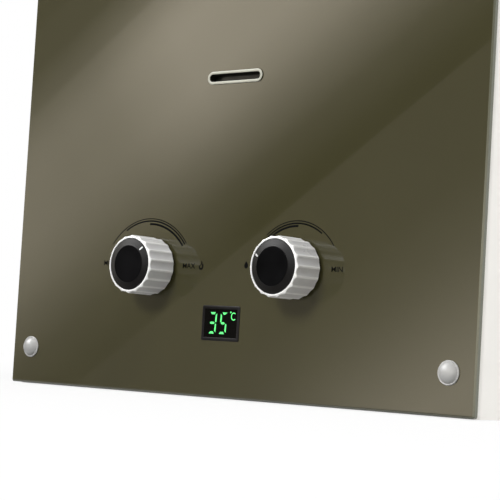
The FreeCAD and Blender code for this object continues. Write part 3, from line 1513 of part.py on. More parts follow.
def make_battery_store():
    outer = box("store_block", (-inner_half, door_front - battery_wall, battery_low),
                (store_far + battery_wall, door_rear + battery_wall, door_high + battery_wall))
    hollow = box("store_hollow", (-inner_half, door_front, door_low),
                 (store_far, door_rear, door_high))
    pin_bore = rod("store_pin_bore", (door_line, pivot_deep, battery_low), "z",
                   door_pin + running_gap, door_high + battery_wall - battery_low)
    cut("battery_box", outer, hollow, pin_bore)
    cells, contacts = [], []
    middle = store_near + cell_radius + cell_gap
    can_low = door_low + contact_thick + running_gap
    can_length = cell_length - cell_nub
    for index in range(2):
        deep = door_front + cell_gap + cell_radius + (2 * cell_radius + cell_gap) * index
        can = rod(f"cell_can_{index}", (middle, deep, can_low), "z", cell_radius, can_length)
        nub = rod(f"cell_nub_{index}", (middle, deep, can_low + can_length), "z",
                  cell_radius * 0.3, cell_nub)
        cells.append(join(f"cell_{index}", can, nub))
        contacts.append(box(f"contact_low_{index}",
                            (middle - contact_half, deep - contact_half, door_low),
                            (middle + contact_half, deep + contact_half,
                             door_low + contact_thick)))
    contacts.append(box(
        "contact_high",
        (middle - contact_half, door_front + contact_half, door_high - contact_thick),
        (middle + contact_half, door_rear - contact_half, door_high)))
    group("battery_cells", *cells)
    group("battery_contacts", *contacts)


def make_battery_door():
    half = door_thick / 2
    low, high = door_low + door_gap, door_high - door_gap
    near = door_front + door_gap
    leaf = box("door_leaf", (door_line - half, near, low), (door_line + half, pivot_deep, high))
    barrel = rod("door_barrel", (door_line, pivot_deep, low), "z", half, high - low)
    pin = rod("door_hinge_pin", (door_line, pivot_deep, door_low - door_pin_bite), "z", door_pin,
              door_high - door_low + 2 * door_pin_bite)
    rib_width, rib_height, rib_edge = 1.4, 0.7, 6
    rib_margin = (high - low) / 3
    ribs = []
    for index in range(door_rib_count):
        start = near + rib_edge + 2 * rib_width * index
        ribs.append(box(f"door_rib_{index}",
                        (door_line - half - rib_height, start, low + rib_margin),
                        (door_line - half, start + rib_width, high - rib_margin)))
    join("battery_door", leaf, barrel, pin, *ribs)


def make_control_box():
    near, low = front + control_back, recess_depth + control_rise
    case = box("control_case", (inner_half - control_width, near, low),
               (inner_half, near + control_depth, low + control_height))
    socket_pitch, socket_length, socket_height = 20, 14, 6
    socket_far = inner_half - control_width / 2
    sockets = [
        box(f"control_socket_{index}",
            (socket_far - 12, near + 5 + socket_pitch * index, low + control_height),
            (socket_far, near + 5 + socket_pitch * index + socket_length,
             low + control_height + socket_height))
        for index in range(3)
    ]
    join("control_box", case, *sockets)


def make_temperature_sensor():
    """Clip round the hot pipe, with a small sensor on it."""
    clip_wall, clip_length, bead_half, bead_reach = 1.5, 12, 2.5, 6
    low = exchanger_low - 60
    clip = tube("sensor_clip", (-hot_pipe_side, tube_last, low), "z",
                tube_radius + clip_wall, clip_wall - press_gap, clip_length)
    bead_right = -hot_pipe_side - tube_radius - clip_wall / 2
    bead = box("sensor_bead", (bead_right - bead_reach, tube_last - bead_half, low + 1),
               (bead_right, tube_last + bead_half, low + clip_length - 1))
    join("temperature_sensor", clip, bead)


# ---------------------------------------------------------------- build and write the files

make_glass_panel()
make_foam_tape()
make_front_frame()
make_corner_screws()
make_window()
make_display()
for knob_kind, knob_across in knob_spots.items():
    make_knob(knob_kind, knob_across)
make_glands()
make_gas_valve()
make_water_valve()
make_link()
make_fittings()
make_water_route()
make_exchanger()
make_hot_pipe()
make_rear_case()
make_top_plate()
make_bottom_plate()
make_case_screws()
make_wall_brackets()
make_burner()
make_manifold()
make_chamber()
make_ignition()
make_hood()
make_flue_collar()
make_handle()
make_battery_store()
make_battery_door()
make_control_box()
make_temperature_sensor()
doc.recompute()

nodes = """
    glass_panel foam_tape front_frame corner_cap_screws corner_grommets
    window_bezel window_pane display_bezel display_lens display_module
    gas_knob gas_knob_cap gas_spindle water_knob water_knob_cap water_spindle gland_nuts
    gas_valve_body gas_solenoid water_valve_body water_valve_cover diaphragm cover_screws
    push_rod return_spring micro_switch switch_lever
    gas_inlet cold_water_inlet hot_water_outlet drain_knob
    heating_coil exchanger_tubes hot_pipe exchanger_fins combustion_chamber
    burner_tray burner_bars gas_nozzles gas_manifold
    electrode_bracket ignition_electrodes overheat_switch temperature_sensor
    rear_case top_plate bottom_plate case_screws wall_brackets bracket_screws
    exhaust_hood flue_collar carry_handle handle_grip handle_ears
    battery_box battery_cells battery_contacts battery_door control_box
""".split()

failed = [thing.Name for thing in doc.Objects if {"Invalid", "Error"} & set(thing.State)]
if failed:
    raise RuntimeError(f"not rebuilt: {failed}")

os.makedirs("parts", exist_ok=True)
for node in nodes:
    shape = doc.getObjectsByLabel(node)[0].Shape
    if shape.isNull() or not shape.isValid() or not shape.Solids:
        raise RuntimeError(f"{node} has no valid shape")
    shape.exportStep(f"parts/{node}.step")
    print(f"{node}: {len(shape.Solids)} solid(s), {shape.Volume:.0f} mm3")
print(f"{len(nodes)} nodes")
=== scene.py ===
import bpy
import bmesh
from math import copysign, cos, hypot, pi, radians, sin, sqrt
from mathutils import Euler, Matrix, Vector


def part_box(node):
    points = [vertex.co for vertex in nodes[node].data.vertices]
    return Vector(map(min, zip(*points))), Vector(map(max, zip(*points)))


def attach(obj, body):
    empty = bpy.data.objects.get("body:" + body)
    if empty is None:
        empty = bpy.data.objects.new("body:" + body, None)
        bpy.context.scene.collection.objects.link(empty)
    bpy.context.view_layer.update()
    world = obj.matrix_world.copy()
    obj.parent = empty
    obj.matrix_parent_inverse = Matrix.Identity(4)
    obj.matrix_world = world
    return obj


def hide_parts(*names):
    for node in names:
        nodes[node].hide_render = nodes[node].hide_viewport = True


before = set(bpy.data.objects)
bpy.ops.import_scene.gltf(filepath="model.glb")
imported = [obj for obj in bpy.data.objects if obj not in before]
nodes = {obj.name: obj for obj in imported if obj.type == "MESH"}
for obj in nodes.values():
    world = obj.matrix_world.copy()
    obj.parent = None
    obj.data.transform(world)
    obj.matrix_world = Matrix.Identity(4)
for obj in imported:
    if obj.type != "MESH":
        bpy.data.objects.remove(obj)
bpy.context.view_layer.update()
mm, mmPerMetre = 0.001, 1000
white = (1.0, 1.0, 1.0, 1.0)
square = ((-1, -1), (1, -1), (1, 1), (-1, 1))
print("frame loaded,", len(nodes), "nodes")

# camera, floor and light

cameraView = {
    "azimuth": 40,          # degrees round from the front, to the right
    "rise": -3.433,         # the camera looks up a little
    "roll": 3.395,
    "lens": 122.7, "sensor": 36, "near": 0.01,
    "distance": 0.9232,
    "target": (0.01777, -0.0544, 0.0815),
}

studio = {
    "ambient": 0.28,        # light from the pale room on every side
    "floorWhite": 0.86,     # share of plain white in the floor, the rest takes shadow
    "floorTone": (0.90, 0.90, 0.895),
    "floorBounce": (0.50, 0.50, 0.495),     # what the floor gives back to the object
    "floorHalf": 4.0, "floorLevel": -0.0003,
    "floorFade": (0.45, 1.5),               # plain white from here outwards
    # power, size, place, aim, and which rays it reaches besides shadows
    "lamps": {
        "keyLamp": (19.0, 0.45, (-0.03, -1.60, 0.84), (0.0, -0.06, 0.07), ("diffuse", "glossy")),
        "topLamp": (25.0, 0.8, (0.85, -0.45, 2.6), (0.05, -0.06, 0.07), ("diffuse",)),
        "sideLamp": (16.2, 0.7, (1.5, 0.55, 0.20), (0.165, 0.02, 0.2), ("diffuse",)),
        "rearLamp": (14.0, 0.8, (-1.3, 1.3, 0.6), (0.0, 0.05, 0.2), ("diffuse", "glossy")),
        "capShine": (42.0, 0.5, (-0.62, -0.52, 0.80), (0.0, -0.076, 0.0715), ("glossy",)),
    },
}

# bright screen that the gloss front mirrors; distances across its bands in mm on the glass
screen = {
    "glassPlane": -0.0544,
    "away": 0.05,
    "eye": (0.60923, -0.76034, 0.02622),
    "across": (0.560, -0.8285),
    "along": (0.8285, 0.560),
    "tint": (1.0, 0.90, 0.755),
    "power": 4.95,
    "room": 0.15,
    # brightness at these places across the glass, then how it fades along it
    "bands": ((-470, 0.0), (-410, 0.09), (-350, 0.09), (-345, 0.02), (-271, 0.04),
              (-269, 0.08), (-247, 0.095), (-245.5, 0.14), (-230, 0.35), (-226, 0.40),
              (-223.5, 0.57), (-206, 0.885), (-194, 0.965), (-185, 0.94), (-170, 0.915),
              (-158, 0.895), (-146, 0.775), (-134, 0.635), (-122, 0.44), (-110, 0.29),
              (-95, 0.115), (-74, 0.02), (-63.6, 0.0), (-62.4, 0.07), (-13, 0.085),
              (10, 0.15), (22, 0.205), (34, 0.28), (46, 0.37), (75, 0.60)),
    "fade": ((-100, 0.44), (-30, 0.42), (0, 0.46), (15, 0.51), (45, 0.73), (75, 0.96),
             (95, 0.99)),
    "haze": ((-170, 0.42), (-30, 0.42), (15, 0.40), (45, 0.31), (75, 0.16), (110, 0.15),
             (165, 0.24)),
    "corners": ((-0.6, 0.0), (0.5, 0.0), (0.5, 0.9), (-0.6, 0.9)),
    # beyond these the screen turns as white as the room: left, right and upper edge
    "borders": ((0, -0.24, -0.50), (0, 0.15, 0.40), (2, 0.50, 0.80)),
}


def isWire(value):
    return isinstance(value, (bpy.types.NodeSocket, bpy.types.Node))


def feed(node, values):
    # wires an input to a socket or to a node's first output, or sets it to a plain value
    for key, value in values.items():
        if isinstance(value, bpy.types.Node):
            value = value.outputs[0]
        if isWire(value):
            node.id_data.links.new(value, node.inputs[key])
        else:
            node.inputs[key].default_value = value


def put(tree, kind, values=None, **settings):
    # shader nodes are named without their ShaderNode
    if not kind.startswith(("GeometryNode", "NodeGroup")):
        kind = "ShaderNode" + kind
    node = tree.nodes.new(kind)
    for key, value in settings.items():
        setattr(node, key, value)
    feed(node, values or {})
    return node


def calc(operation, *values):
    tree = next(value.id_data for value in values if isWire(value))
    return put(tree, "Math", dict(enumerate(values)), operation=operation)


def times(first, second):
    return calc("MULTIPLY", first, second)


def less(first, second):
    return calc("SUBTRACT", first, second)


def blend(factor, first, second):
    tones = [tone if isWire(tone) else (*tone, 1.0) for tone in (first, second)]
    return put(factor.id_data, "Mix", {0: factor, 6: tones[0], 7: tones[1]},
        data_type="RGBA").outputs[2]


def spread(value, low, high, newLow=0.0, newHigh=1.0, smooth=False):
    return put(value.id_data, "MapRange", {0: value, 1: low, 2: high, 3: newLow, 4: newHigh},
        interpolation_type="SMOOTHSTEP" if smooth else "LINEAR")


def noise(place, scale, detail=3.0):
    return put(place.id_data, "TexNoise", {"Vector": place, "Scale": scale, "Detail": detail})


def axisOf(place, axis):
    return put(place.id_data, "SeparateXYZ", {0: place}).outputs[axis]


def emptyTree(owner):
    owner.use_nodes = True
    owner.node_tree.nodes.clear()
    return owner.node_tree


def newPiece(name, data):
    piece = bpy.data.objects.new(name, data)
    bpy.context.scene.collection.objects.link(piece)
    return piece


def placeCamera(look):
    turn, rise, roll = (radians(look[key]) for key in ("azimuth", "rise", "roll"))
    back = Vector((sin(turn) * cos(rise), -cos(turn) * cos(rise), sin(rise)))
    right = Vector((cos(turn), sin(turn), 0))
    up = back.cross(right)
    right, up = (right * cos(roll) + up * sin(roll), up * cos(roll) - right * sin(roll))
    data = bpy.data.cameras.new("camera")
    data.lens, data.sensor_width, data.clip_start = look["lens"], look["sensor"], look["near"]
    camera = newPiece("camera", data)
    camera.matrix_world = (Matrix.Translation(Vector(look["target"]) + back * look["distance"])
        @ Matrix((right, up, back)).transposed().to_4x4())
    bpy.context.scene.camera = camera


def cameraRays(tree):
    # 1 for a ray that the camera, a mirror or a pane sends, 0 for light on a surface
    path = put(tree, "LightPath").outputs
    seen = calc("MAXIMUM", path["Is Camera Ray"], path["Is Glossy Ray"])
    return calc("MAXIMUM", seen, path["Is Transmission Ray"])


def placeLamp(name, power, size, place, target, reaches):
    data = bpy.data.lights.new(name, "AREA")
    data.energy, data.size = power, size
    lamp = newPiece(name, data)
    lamp.location = place
    lamp.rotation_euler = (Vector(place) - Vector(target)).to_track_quat("Z", "Y").to_euler()
    lamp.visible_diffuse = "diffuse" in reaches
    lamp.visible_glossy = "glossy" in reaches


def stageMesh(name, corners, material):
    mesh = bpy.data.meshes.new(name)
    mesh.from_pydata(corners, [], [tuple(range(len(corners)))])
    mesh.materials.append(material)
    thing = newPiece(name, mesh)
    return thing


def rampOf(value, stops):
    low, high = stops[0][0], stops[-1][0]
    ramp = put(value.id_data, "ValToRGB", {0: spread(value, low, high)})
    band = ramp.color_ramp
    while len(band.elements) < len(stops):
        band.elements.new(0.5)
    for element, (where, strength) in zip(band.elements, stops):
        element.position = (where - low) / (high - low)
    for element, (where, strength) in zip(band.elements, stops):
        element.color = (strength, strength, strength, 1.0)
    return ramp


def makeScreen(look):
    # flat card in front of the glass, seen only as a reflection, placed so that the
    # bands cross the glass as they would from a tall softbox with straps over it
    material = bpy.data.materials.new("screenLight")
    tree = emptyTree(material)
    eye, plane = look["eye"], look["glassPlane"]
    scale = 1 + look["away"] / (plane - eye[1])
    place = put(tree, "SeparateXYZ", {0: put(tree, "TexCoord").outputs["Object"]}).outputs
    onGlass = [spread(place[side], eye[side], eye[side] + scale, eye[side] * mmPerMetre,
        (eye[side] + 1) * mmPerMetre) for side in (0, 2)]
    for node in onGlass:
        node.clamp = False
    across, along = [calc("ADD", times(onGlass[0], look[key][0]), times(onGlass[1], look[key][1]))
        for key in ("across", "along")]
    level = times(rampOf(across, look["bands"]), rampOf(along, look["fade"]))
    strength = calc("MULTIPLY_ADD", level, look["power"], rampOf(along, look["haze"]))
    for side, first, last in look["borders"]:
        border = spread(place[side], first, last, look["room"], 1.0, True)
        strength = calc("MAXIMUM", strength, border)
    shine = put(tree, "Emission", {0: (*look["tint"], 1.0), 1: strength})
    put(tree, "OutputMaterial", {0: shine})
    depth = plane - look["away"]
    card = stageMesh("screenCard", [(x, depth, z) for x, z in look["corners"]], material)
    for kind in ("camera", "diffuse", "transmission", "volume_scatter", "shadow"):
        setattr(card, "visible_" + kind, False)


def makeStudio(look):
    scene = bpy.context.scene
    scene.view_settings.view_transform = "Standard"
    scene.world = bpy.data.worlds.new("room")
    tree = emptyTree(scene.world)
    strength = spread(cameraRays(tree), 0.0, 1.0, look["ambient"], 1.0)
    room = put(tree, "Background", {0: white, 1: strength})
    put(tree, "OutputWorld", {0: room})

    material = bpy.data.materials.new("floorPaper")
    tree = emptyTree(material)
    seen = cameraRays(tree)
    paper = put(tree, "BsdfDiffuse", {0: blend(seen, look["floorBounce"], look["floorTone"])})
    plain = put(tree, "Emission", {0: white, 1: 1.0})
    away = put(tree, "VectorMath", {0: put(tree, "TexCoord").outputs["Object"]},
        operation="LENGTH").outputs["Value"]
    share = times(seen, spread(away, *look["floorFade"], look["floorWhite"], 1.0, True))
    both = put(tree, "MixShader", {0: share, 1: paper, 2: plain})
    put(tree, "OutputMaterial", {0: both})
    half, level = look["floorHalf"], look["floorLevel"]
    stageMesh("floorSheet", [(x * half, y * half, level) for x, y in square], material)
    for name, lamp in look["lamps"].items():
        placeLamp(name, *lamp)


placeCamera(cameraView)
makeStudio(studio)
makeScreen(screen)
print("studio ready")

# finishes

finishes = {
    "case_paint": {
        "colour": (0.86, 0.84, 0.80), "rough": 0.42, "shade": 0.006, "grain": 620,
        "gloss": 0.28, "height": 0.000016, "wear": (0.93, 0.92, 0.90), "wearWidth": 0.0006,
        "nodes": ("rear_case", "top_plate")},
    # knob_silver: crest is a painted highlight, near white along the flute crests; rim is the
    # bright machined front lip
    "knob_silver": {
        "colour": (0.74, 0.74, 0.75), "rough": 0.32, "metal": 0.10, "shade": 0.04,
        "grain": 2600, "height": 0.000003, "wear": (0.97, 0.97, 0.97), "wearWidth": 0.0004,
        "crest": (0.98, 0.98, 0.98), "rim": (1, -0.0746, -0.0751, (0.98, 0.98, 0.98))},
    "knob_black": {
        "colour": (0.004, 0.004, 0.0045), "rough": 0.44, "shade": 0.25, "grain": 2300,
        "height": 0.00006, "wear": (0.02, 0.02, 0.021), "wearWidth": 0.0002,
        "gloss": 0.012, "slope": (1, -0.07672, -0.07650, 0.11)},
    "screw_steel": {
        "colour": (0.70, 0.70, 0.69), "rough": 0.27, "metal": 0.45, "shade": 0.08,
        "grain": 1800, "height": 0.000004, "wear": (0.85, 0.85, 0.84), "wearWidth": 0.0002,
        "nodes": ("cover_screws",)},
    "dome_satin": {
        "colour": (0.45, 0.45, 0.445), "rough": 0.45, "metal": 0.04, "shade": 0.06,
        "grain": 1800, "height": 0.000004, "wear": (0.66, 0.66, 0.65), "wearWidth": 0.0003,
        "gloss": 0.12},
    # window_metal: its rim colour is painted shade, the walls behind the ring's front made near
    # black inside the opening
    "window_metal": {
        "colour": (0.46, 0.46, 0.385), "rough": 0.5, "shade": 0.05,
        "grain": 2600, "height": 0.000004, "wear": (0.56, 0.56, 0.48), "wearWidth": 0.0002,
        "rim": (1, -0.05505, -0.05485, (0.010, 0.010, 0.008)), "gloss": 0.15},
    "display_frame": {
        "colour": (0.009, 0.008, 0.009), "rough": 0.42, "shade": 0.2, "grain": 3000,
        "height": 0.00001, "wear": (0.025, 0.023, 0.025), "wearWidth": 0.0002, "gloss": 0.1},
    "display_face": {
        "colour": (0.0012, 0.0012, 0.0013), "rough": 0.12, "shade": 0.3, "grain": 300,
        "height": 0.000001, "gloss": 0.08, "nodes": ("display_lens",)},
    "stainless": {
        "colour": (0.62, 0.61, 0.59), "rough": 0.30, "metal": 1.0, "shade": 0.10,
        "grain": 500, "height": 0.000006, "stretch": (1, 1, 14),
        "wear": (0.78, 0.78, 0.77), "wearWidth": 0.0004,
        "nodes": ("exhaust_hood", "gas_spindle", "water_spindle", "push_rod",
                  "return_spring", "switch_lever")},
    "flue_steel": {
        "colour": (0.40, 0.40, 0.39), "rough": 0.40, "metal": 0.9, "shade": 0.08,
        "grain": 500, "height": 0.000005, "stretch": (1, 1, 14),
        "wear": (0.58, 0.58, 0.57), "wearWidth": 0.0004},
    "burner_steel": {
        "colour": (0.40, 0.36, 0.31), "rough": 0.48, "metal": 1.0, "shade": 0.25,
        "tint": (0.20, 0.17, 0.21), "shadeScale": 34, "grain": 700, "height": 0.00001,
        "nodes": ("burner_tray", "burner_bars")},
    "cast_alloy": {
        "colour": (0.50, 0.50, 0.49), "rough": 0.58, "metal": 0.85, "shade": 0.12,
        "grain": 900, "height": 0.00006, "wear": (0.70, 0.70, 0.69), "wearWidth": 0.0006,
        "nodes": ("gas_valve_body", "gas_manifold")},
    "brass": {
        "colour": (0.66, 0.46, 0.20), "rough": 0.32, "metal": 1.0, "shade": 0.1,
        "tint": (0.42, 0.29, 0.13), "shadeScale": 55, "grain": 1200, "height": 0.000008,
        "wear": (0.82, 0.63, 0.33), "wearWidth": 0.0003,
        "nodes": ("water_valve_body", "water_valve_cover", "gland_nuts", "gas_nozzles")},
    "copper": {
        "colour": (0.74, 0.36, 0.22), "rough": 0.34, "metal": 1.0, "shade": 0.1,
        "tint": (0.36, 0.17, 0.11), "shadeScale": 26, "grain": 800, "height": 0.000008,
        "wear": (0.88, 0.52, 0.38), "wearWidth": 0.0003,
        "nodes": ("heating_coil", "exchanger_tubes", "exchanger_fins", "hot_pipe",
                  "combustion_chamber", "battery_contacts")},
    "black_plastic": {
        "colour": (0.020, 0.020, 0.021), "rough": 0.5, "shade": 0.18, "grain": 2200,
        "height": 0.00003, "wear": (0.07, 0.07, 0.072), "wearWidth": 0.0004,
        "nodes": ("gas_solenoid", "micro_switch", "battery_box", "control_box",
                  "overheat_switch", "temperature_sensor")},
    "grip_rubber": {
        "colour": (0.024, 0.024, 0.025), "rough": 0.72, "shade": 0.22, "grain": 1700,
        "height": 0.00005, "wear": (0.075, 0.075, 0.075), "wearWidth": 0.0005},
    "seal_rubber": {
        "colour": (0.030, 0.028, 0.027), "rough": 0.78, "shade": 0.2, "grain": 1500,
        "height": 0.00003, "nodes": ("corner_grommets", "diaphragm")},
    "ceramic_white": {
        "colour": (0.84, 0.83, 0.79), "rough": 0.22, "shade": 0.05, "tint": (0.70, 0.66, 0.58),
        "shadeScale": 120, "grain": 900, "height": 0.000006,
        "nodes": ("ignition_electrodes",)},
    "door_plastic": {
        "colour": (0.80, 0.775, 0.73), "rough": 0.46, "shade": 0.03, "grain": 1500,
        "height": 0.00002, "wear": (0.88, 0.865, 0.83), "wearWidth": 0.0004},
    "red_valve": {
        "colour": (0.50, 0.030, 0.022), "rough": 0.4, "shade": 0.12, "grain": 1400,
        "height": 0.00002, "wear": (0.62, 0.10, 0.08), "wearWidth": 0.0005},
}
# what all of them share: noise detail, where noise turns to full effect, worn edges, where the
# painted crest highlight begins
surface = {
    "broadScale": 45, "broadDetail": 5.0, "broadRange": (0.36, 0.62), "fineDetail": 2.0,
    "brightest": 0.98, "roughRange": (0.3, 0.7), "smoother": 0.05, "rougher": 0.07,
    "chipScale": 420, "chipDetail": 4.0, "chipRange": (0.38, 0.6), "leastChip": 0.25,
    "edgeRange": (0.995, 0.86), "crestHighlightRange": (0.70, 0.90), "gloss": 0.5,
}
materials = {}


def labelled(values):
    # labels written with _ for a space
    return {label.replace("_", " "): value for label, value in values.items()}


def newMaterial(name):
    # gives the place on the object, in the tree of the new finish
    materials[name] = bpy.data.materials.new(name)
    materials[name].use_nodes = True
    return put(materials[name].node_tree, "TexCoord").outputs["Object"]


def paint(tone, rough, relief=0.0, bumps=None, **others):
    # wires the shader of a finish; relief is the height of its bumps
    tree = tone.id_data
    if relief:
        others["Normal"] = put(tree, "Bump", {"Strength": 1.0, "Distance": relief,
            "Height": bumps})
    feed(tree.nodes["Principled BSDF"], {"Base Color": tone, "Roughness": rough,
        **labelled(others)})


def edgeMask(tree, width):
    # 0 on open faces, 1 where a rounded copy of the surface turns away from it
    rounded = put(tree, "Bevel", {"Radius": width}, samples=4)
    plain = put(tree, "NewGeometry").outputs["True Normal"]
    match = put(tree, "VectorMath", {0: rounded, 1: plain}, operation="DOT_PRODUCT")
    return spread(match.outputs["Value"], *surface["edgeRange"])


def makeFinish(name, look):
    place = newMaterial(name)
    tree = place.id_data
    stretched = put(tree, "Mapping", {"Vector": place, "Scale": look.get("stretch", (1, 1, 1))})
    broad = noise(place, look.get("shadeScale", surface["broadScale"]), surface["broadDetail"])
    fine = noise(stretched, look["grain"], surface["fineDetail"])
    base, shade = look["colour"], look["shade"]
    dark = look.get("tint") or [part * (1 - 2 * shade) for part in base]
    light = [min(part * (1 + shade), surface["brightest"]) for part in base]
    tone = blend(spread(broad, *surface["broadRange"]), dark, light)
    tone = blend(times(fine, shade), tone, dark)
    if "wear" in look:
        chips = spread(noise(place, surface["chipScale"], surface["chipDetail"]),
            *surface["chipRange"], surface["leastChip"], 1.0)
        tone = blend(times(edgeMask(tree, look["wearWidth"]), chips), tone, look["wear"])
    # painted highlight: the flute crests are made near white in place of the light lines they
    # catch
    if "crest" in look:
        crestHighlightMask = put(tree, "Attribute", attribute_name="crest").outputs["Fac"]
        tone = blend(spread(crestHighlightMask, *surface["crestHighlightRange"]), tone, look["crest"])
    # a band along one axis takes another colour: the knob's bright machined lip, and painted shade
    # on the sight ring's inner walls
    if "rim" in look:
        axis, first, last, bandTone = look["rim"]
        tone = blend(spread(axisOf(place, axis), first, last), tone, bandTone)
    gloss = look.get("gloss", surface["gloss"])
    if "slope" in look:
        axis, first, last, upper = look["slope"]
        gloss = spread(axisOf(place, axis), first, last, gloss, upper)
    rough = spread(broad, *surface["roughRange"], look["rough"] - surface["smoother"],
        look["rough"] + surface["rougher"])
    paint(tone, rough, look["height"], fine, Metallic=look.get("metal", 0.0),
        Specular_IOR_Level=gloss)


frontGlass = {
    "olive": (0.0485, 0.0445, 0.0180), "oliveDeep": (0.0440, 0.0405, 0.0160),
    "cloudScale": 9, "flakeScale": 1600, "flakeGain": 1.35,
    # ground edge of the pane, seen through its thickness
    "edge": (0.145, 0.150, 0.110), "edgeScale": 700, "edgeLoss": 0.72, "edgeRough": 0.3,
    "rough": 0.025, "ior": 1.5,
    "smudge": 0.03, "smudgeScale": 16, "wipeTurn": 0.9, "wipeStretch": (1, 1, 7),
    "waveScale": 60, "waveHeight": 0.0000012,
}


def makeFrontGlass(name, look):
    place = newMaterial(name)
    tree = place.id_data
    facing = axisOf(place.node.outputs["Normal"], 1)
    tone = blend(spread(noise(place, look["cloudScale"]), 0.35, 0.65), look["oliveDeep"],
        look["olive"])
    flake = spread(noise(place, look["flakeScale"], 2.0), 0.45, 0.8, 0.0, 0.25)
    tone = blend(flake, tone, [part * look["flakeGain"] for part in look["olive"]])
    edge = spread(calc("ABSOLUTE", facing), 0.97, 0.6)
    ground = blend(noise(place, look["edgeScale"]), look["edge"], [part * look["edgeLoss"]
        for part in look["edge"]])
    wipe = put(tree, "Mapping", {"Vector": place, "Rotation": (0, look["wipeTurn"], 0),
        "Scale": look["wipeStretch"]})
    smudge = spread(noise(wipe, look["smudgeScale"], 6.0), 0.5, 0.85, 0.0, look["smudge"])
    rough = calc("ADD", calc("MULTIPLY_ADD", edge, look["edgeRough"], look["rough"]), smudge)
    paint(blend(edge, tone, ground), rough, look["waveHeight"], noise(place, look["waveScale"],
        2.0), IOR=look["ior"])


zinc = {
    "crystals": 130, "dark": (0.36, 0.37, 0.38), "light": (0.57, 0.58, 0.59),
    "haze": (0.62, 0.62, 0.61), "hazeScale": 40, "rough": (0.30, 0.50), "height": 0.00001,
}


def makeZinc(name, look):
    # zinc crystals: cells that differ in tone and gloss
    place = newMaterial(name)
    tree = place.id_data
    cells = put(tree, "TexVoronoi", {"Vector": place, "Scale": look["crystals"]})
    grey = put(tree, "SeparateColor", {0: cells.outputs["Color"]}).outputs
    haze = spread(noise(place, look["hazeScale"], 5.0), 0.5, 0.8, 0.0, 0.6)
    tone = blend(haze, blend(grey[0], look["dark"], look["light"]), look["haze"])
    paint(tone, spread(grey[1], 0.0, 1.0, *look["rough"]), look["height"], grey[2], Metallic=0.9)


circuitBoard = {
    "resist": (0.012, 0.085, 0.030), "track": (0.030, 0.17, 0.055), "tin": (0.62, 0.62, 0.60),
    "trackScale": 260, "trackGap": 0.05, "spotScale": 420, "height": 0.00004,
}


def makeCircuitBoard(name, look):
    # green resist over copper tracks, with tinned spots
    place = newMaterial(name)
    tree = place.id_data
    upright = put(tree, "Mapping", {"Vector": place, "Rotation": (1.5708, 0, 0)})
    track = put(tree, "TexBrick", {"Vector": upright, "Scale": look["trackScale"],
        "Mortar Size": look["trackGap"]}, offset=0.5).outputs[1]
    spots = put(tree, "TexVoronoi", {"Vector": place, "Scale": look["spotScale"]}, feature="F1")
    dot = spread(spots, 0.16, 0.2, 1.0, 0.0)
    tone = blend(dot, blend(track, look["resist"], look["track"]), look["tin"])
    paint(tone, spread(dot, 0, 1, 0.32, 0.22), look["height"], calc("ADD", track, dot),
        Metallic=times(dot, 0.9))


cellWrap = {
    "sleeve": (0.014, 0.014, 0.016), "band": (0.55, 0.27, 0.10), "scuff": (0.3, 0.3, 0.3),
    "steel": (0.62, 0.62, 0.61), "scuffScale": 260, "height": 0.00001,
    # distances from the foot or down from the top at which a band begins and is full
    "steelFoot": (0.0013, 0.0011), "steelTop": (0.0028, 0.0026), "bandTop": (0.0175, 0.0172),
}


def makeCellWrap(name, look):
    # black sleeve with a copper coloured band at the top, bare steel at both ends
    place = newMaterial(name)
    height = axisOf(place, 2)
    low, high = (end.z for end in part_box("battery_cells"))
    band = spread(height, *(high - part for part in look["bandTop"]))
    bare = calc("MAXIMUM", spread(height, *(low + part for part in look["steelFoot"])),
        spread(height, *(high - part for part in look["steelTop"])))
    scuff = noise(place, look["scuffScale"], 5.0)
    tone = blend(band, look["sleeve"], look["band"])
    tone = blend(spread(scuff, 0.6, 0.8, 0.0, 0.5), tone, look["scuff"])
    paint(blend(bare, tone, look["steel"]), spread(scuff, 0.3, 0.7, 0.24, 0.38), look["height"],
        scuff, Metallic=calc("MAXIMUM", bare, times(band, 0.6)))


foam = {"deep": (0.018, 0.018, 0.019), "skin": (0.085, 0.085, 0.088), "pores": 1500,
        "height": 0.0002}


def makeFoam(name, look):
    # open cells, painted darker towards the middle of each pore as shade in its hollow
    place = newMaterial(name)
    tree = place.id_data
    pores = put(tree, "TexVoronoi", {"Vector": place, "Scale": look["pores"]})
    paint(blend(spread(pores, 0.1, 0.7), look["deep"], look["skin"]),
        spread(pores, 0.0, 1.0, 0.98, 0.85), look["height"], pores)


sightPane = {"glass": (0.020, 0.021, 0.017), "soot": (0.008, 0.009, 0.007), "sootScale": 150,
             "height": 0.000002, "clear": 0.1, "gloss": 0.04}


def makeSightPane(name, look):
    # near-black heatproof glass that lets little light through, painted dark as the shade of the
    # chamber behind it, with a trace of soot
    place = newMaterial(name)
    soot = noise(place, look["sootScale"], 5.0)
    paint(blend(spread(soot, 0.4, 0.7), look["glass"], look["soot"]),
        spread(soot, 0.3, 0.7, 0.05, 0.2), look["height"], soot, Transmission_Weight=look["clear"],
        Specular_IOR_Level=look["gloss"])


inks = {        # colour, then how strongly it glows
    "blackInk": ((0.004, 0.004, 0.0035), 0.0),
    "whiteInk": ((0.86, 0.86, 0.86), 0.0),
    "litGreen": ((0.11, 0.72, 0.19), 1.0),
}


def makeInk(name, look):
    # printing ink or a lit segment, a little uneven
    place = newMaterial(name)
    colour, glow = look
    uneven = noise(place, 1500, 2.0)
    tone = blend(uneven, [part * 0.85 for part in colour], colour)
    lit = {"Emission_Color": tone, "Emission_Strength": glow} if glow else {}
    paint(tone, spread(uneven, 0.3, 0.7, 0.35, 0.5), Specular_IOR_Level=0.02, **lit)


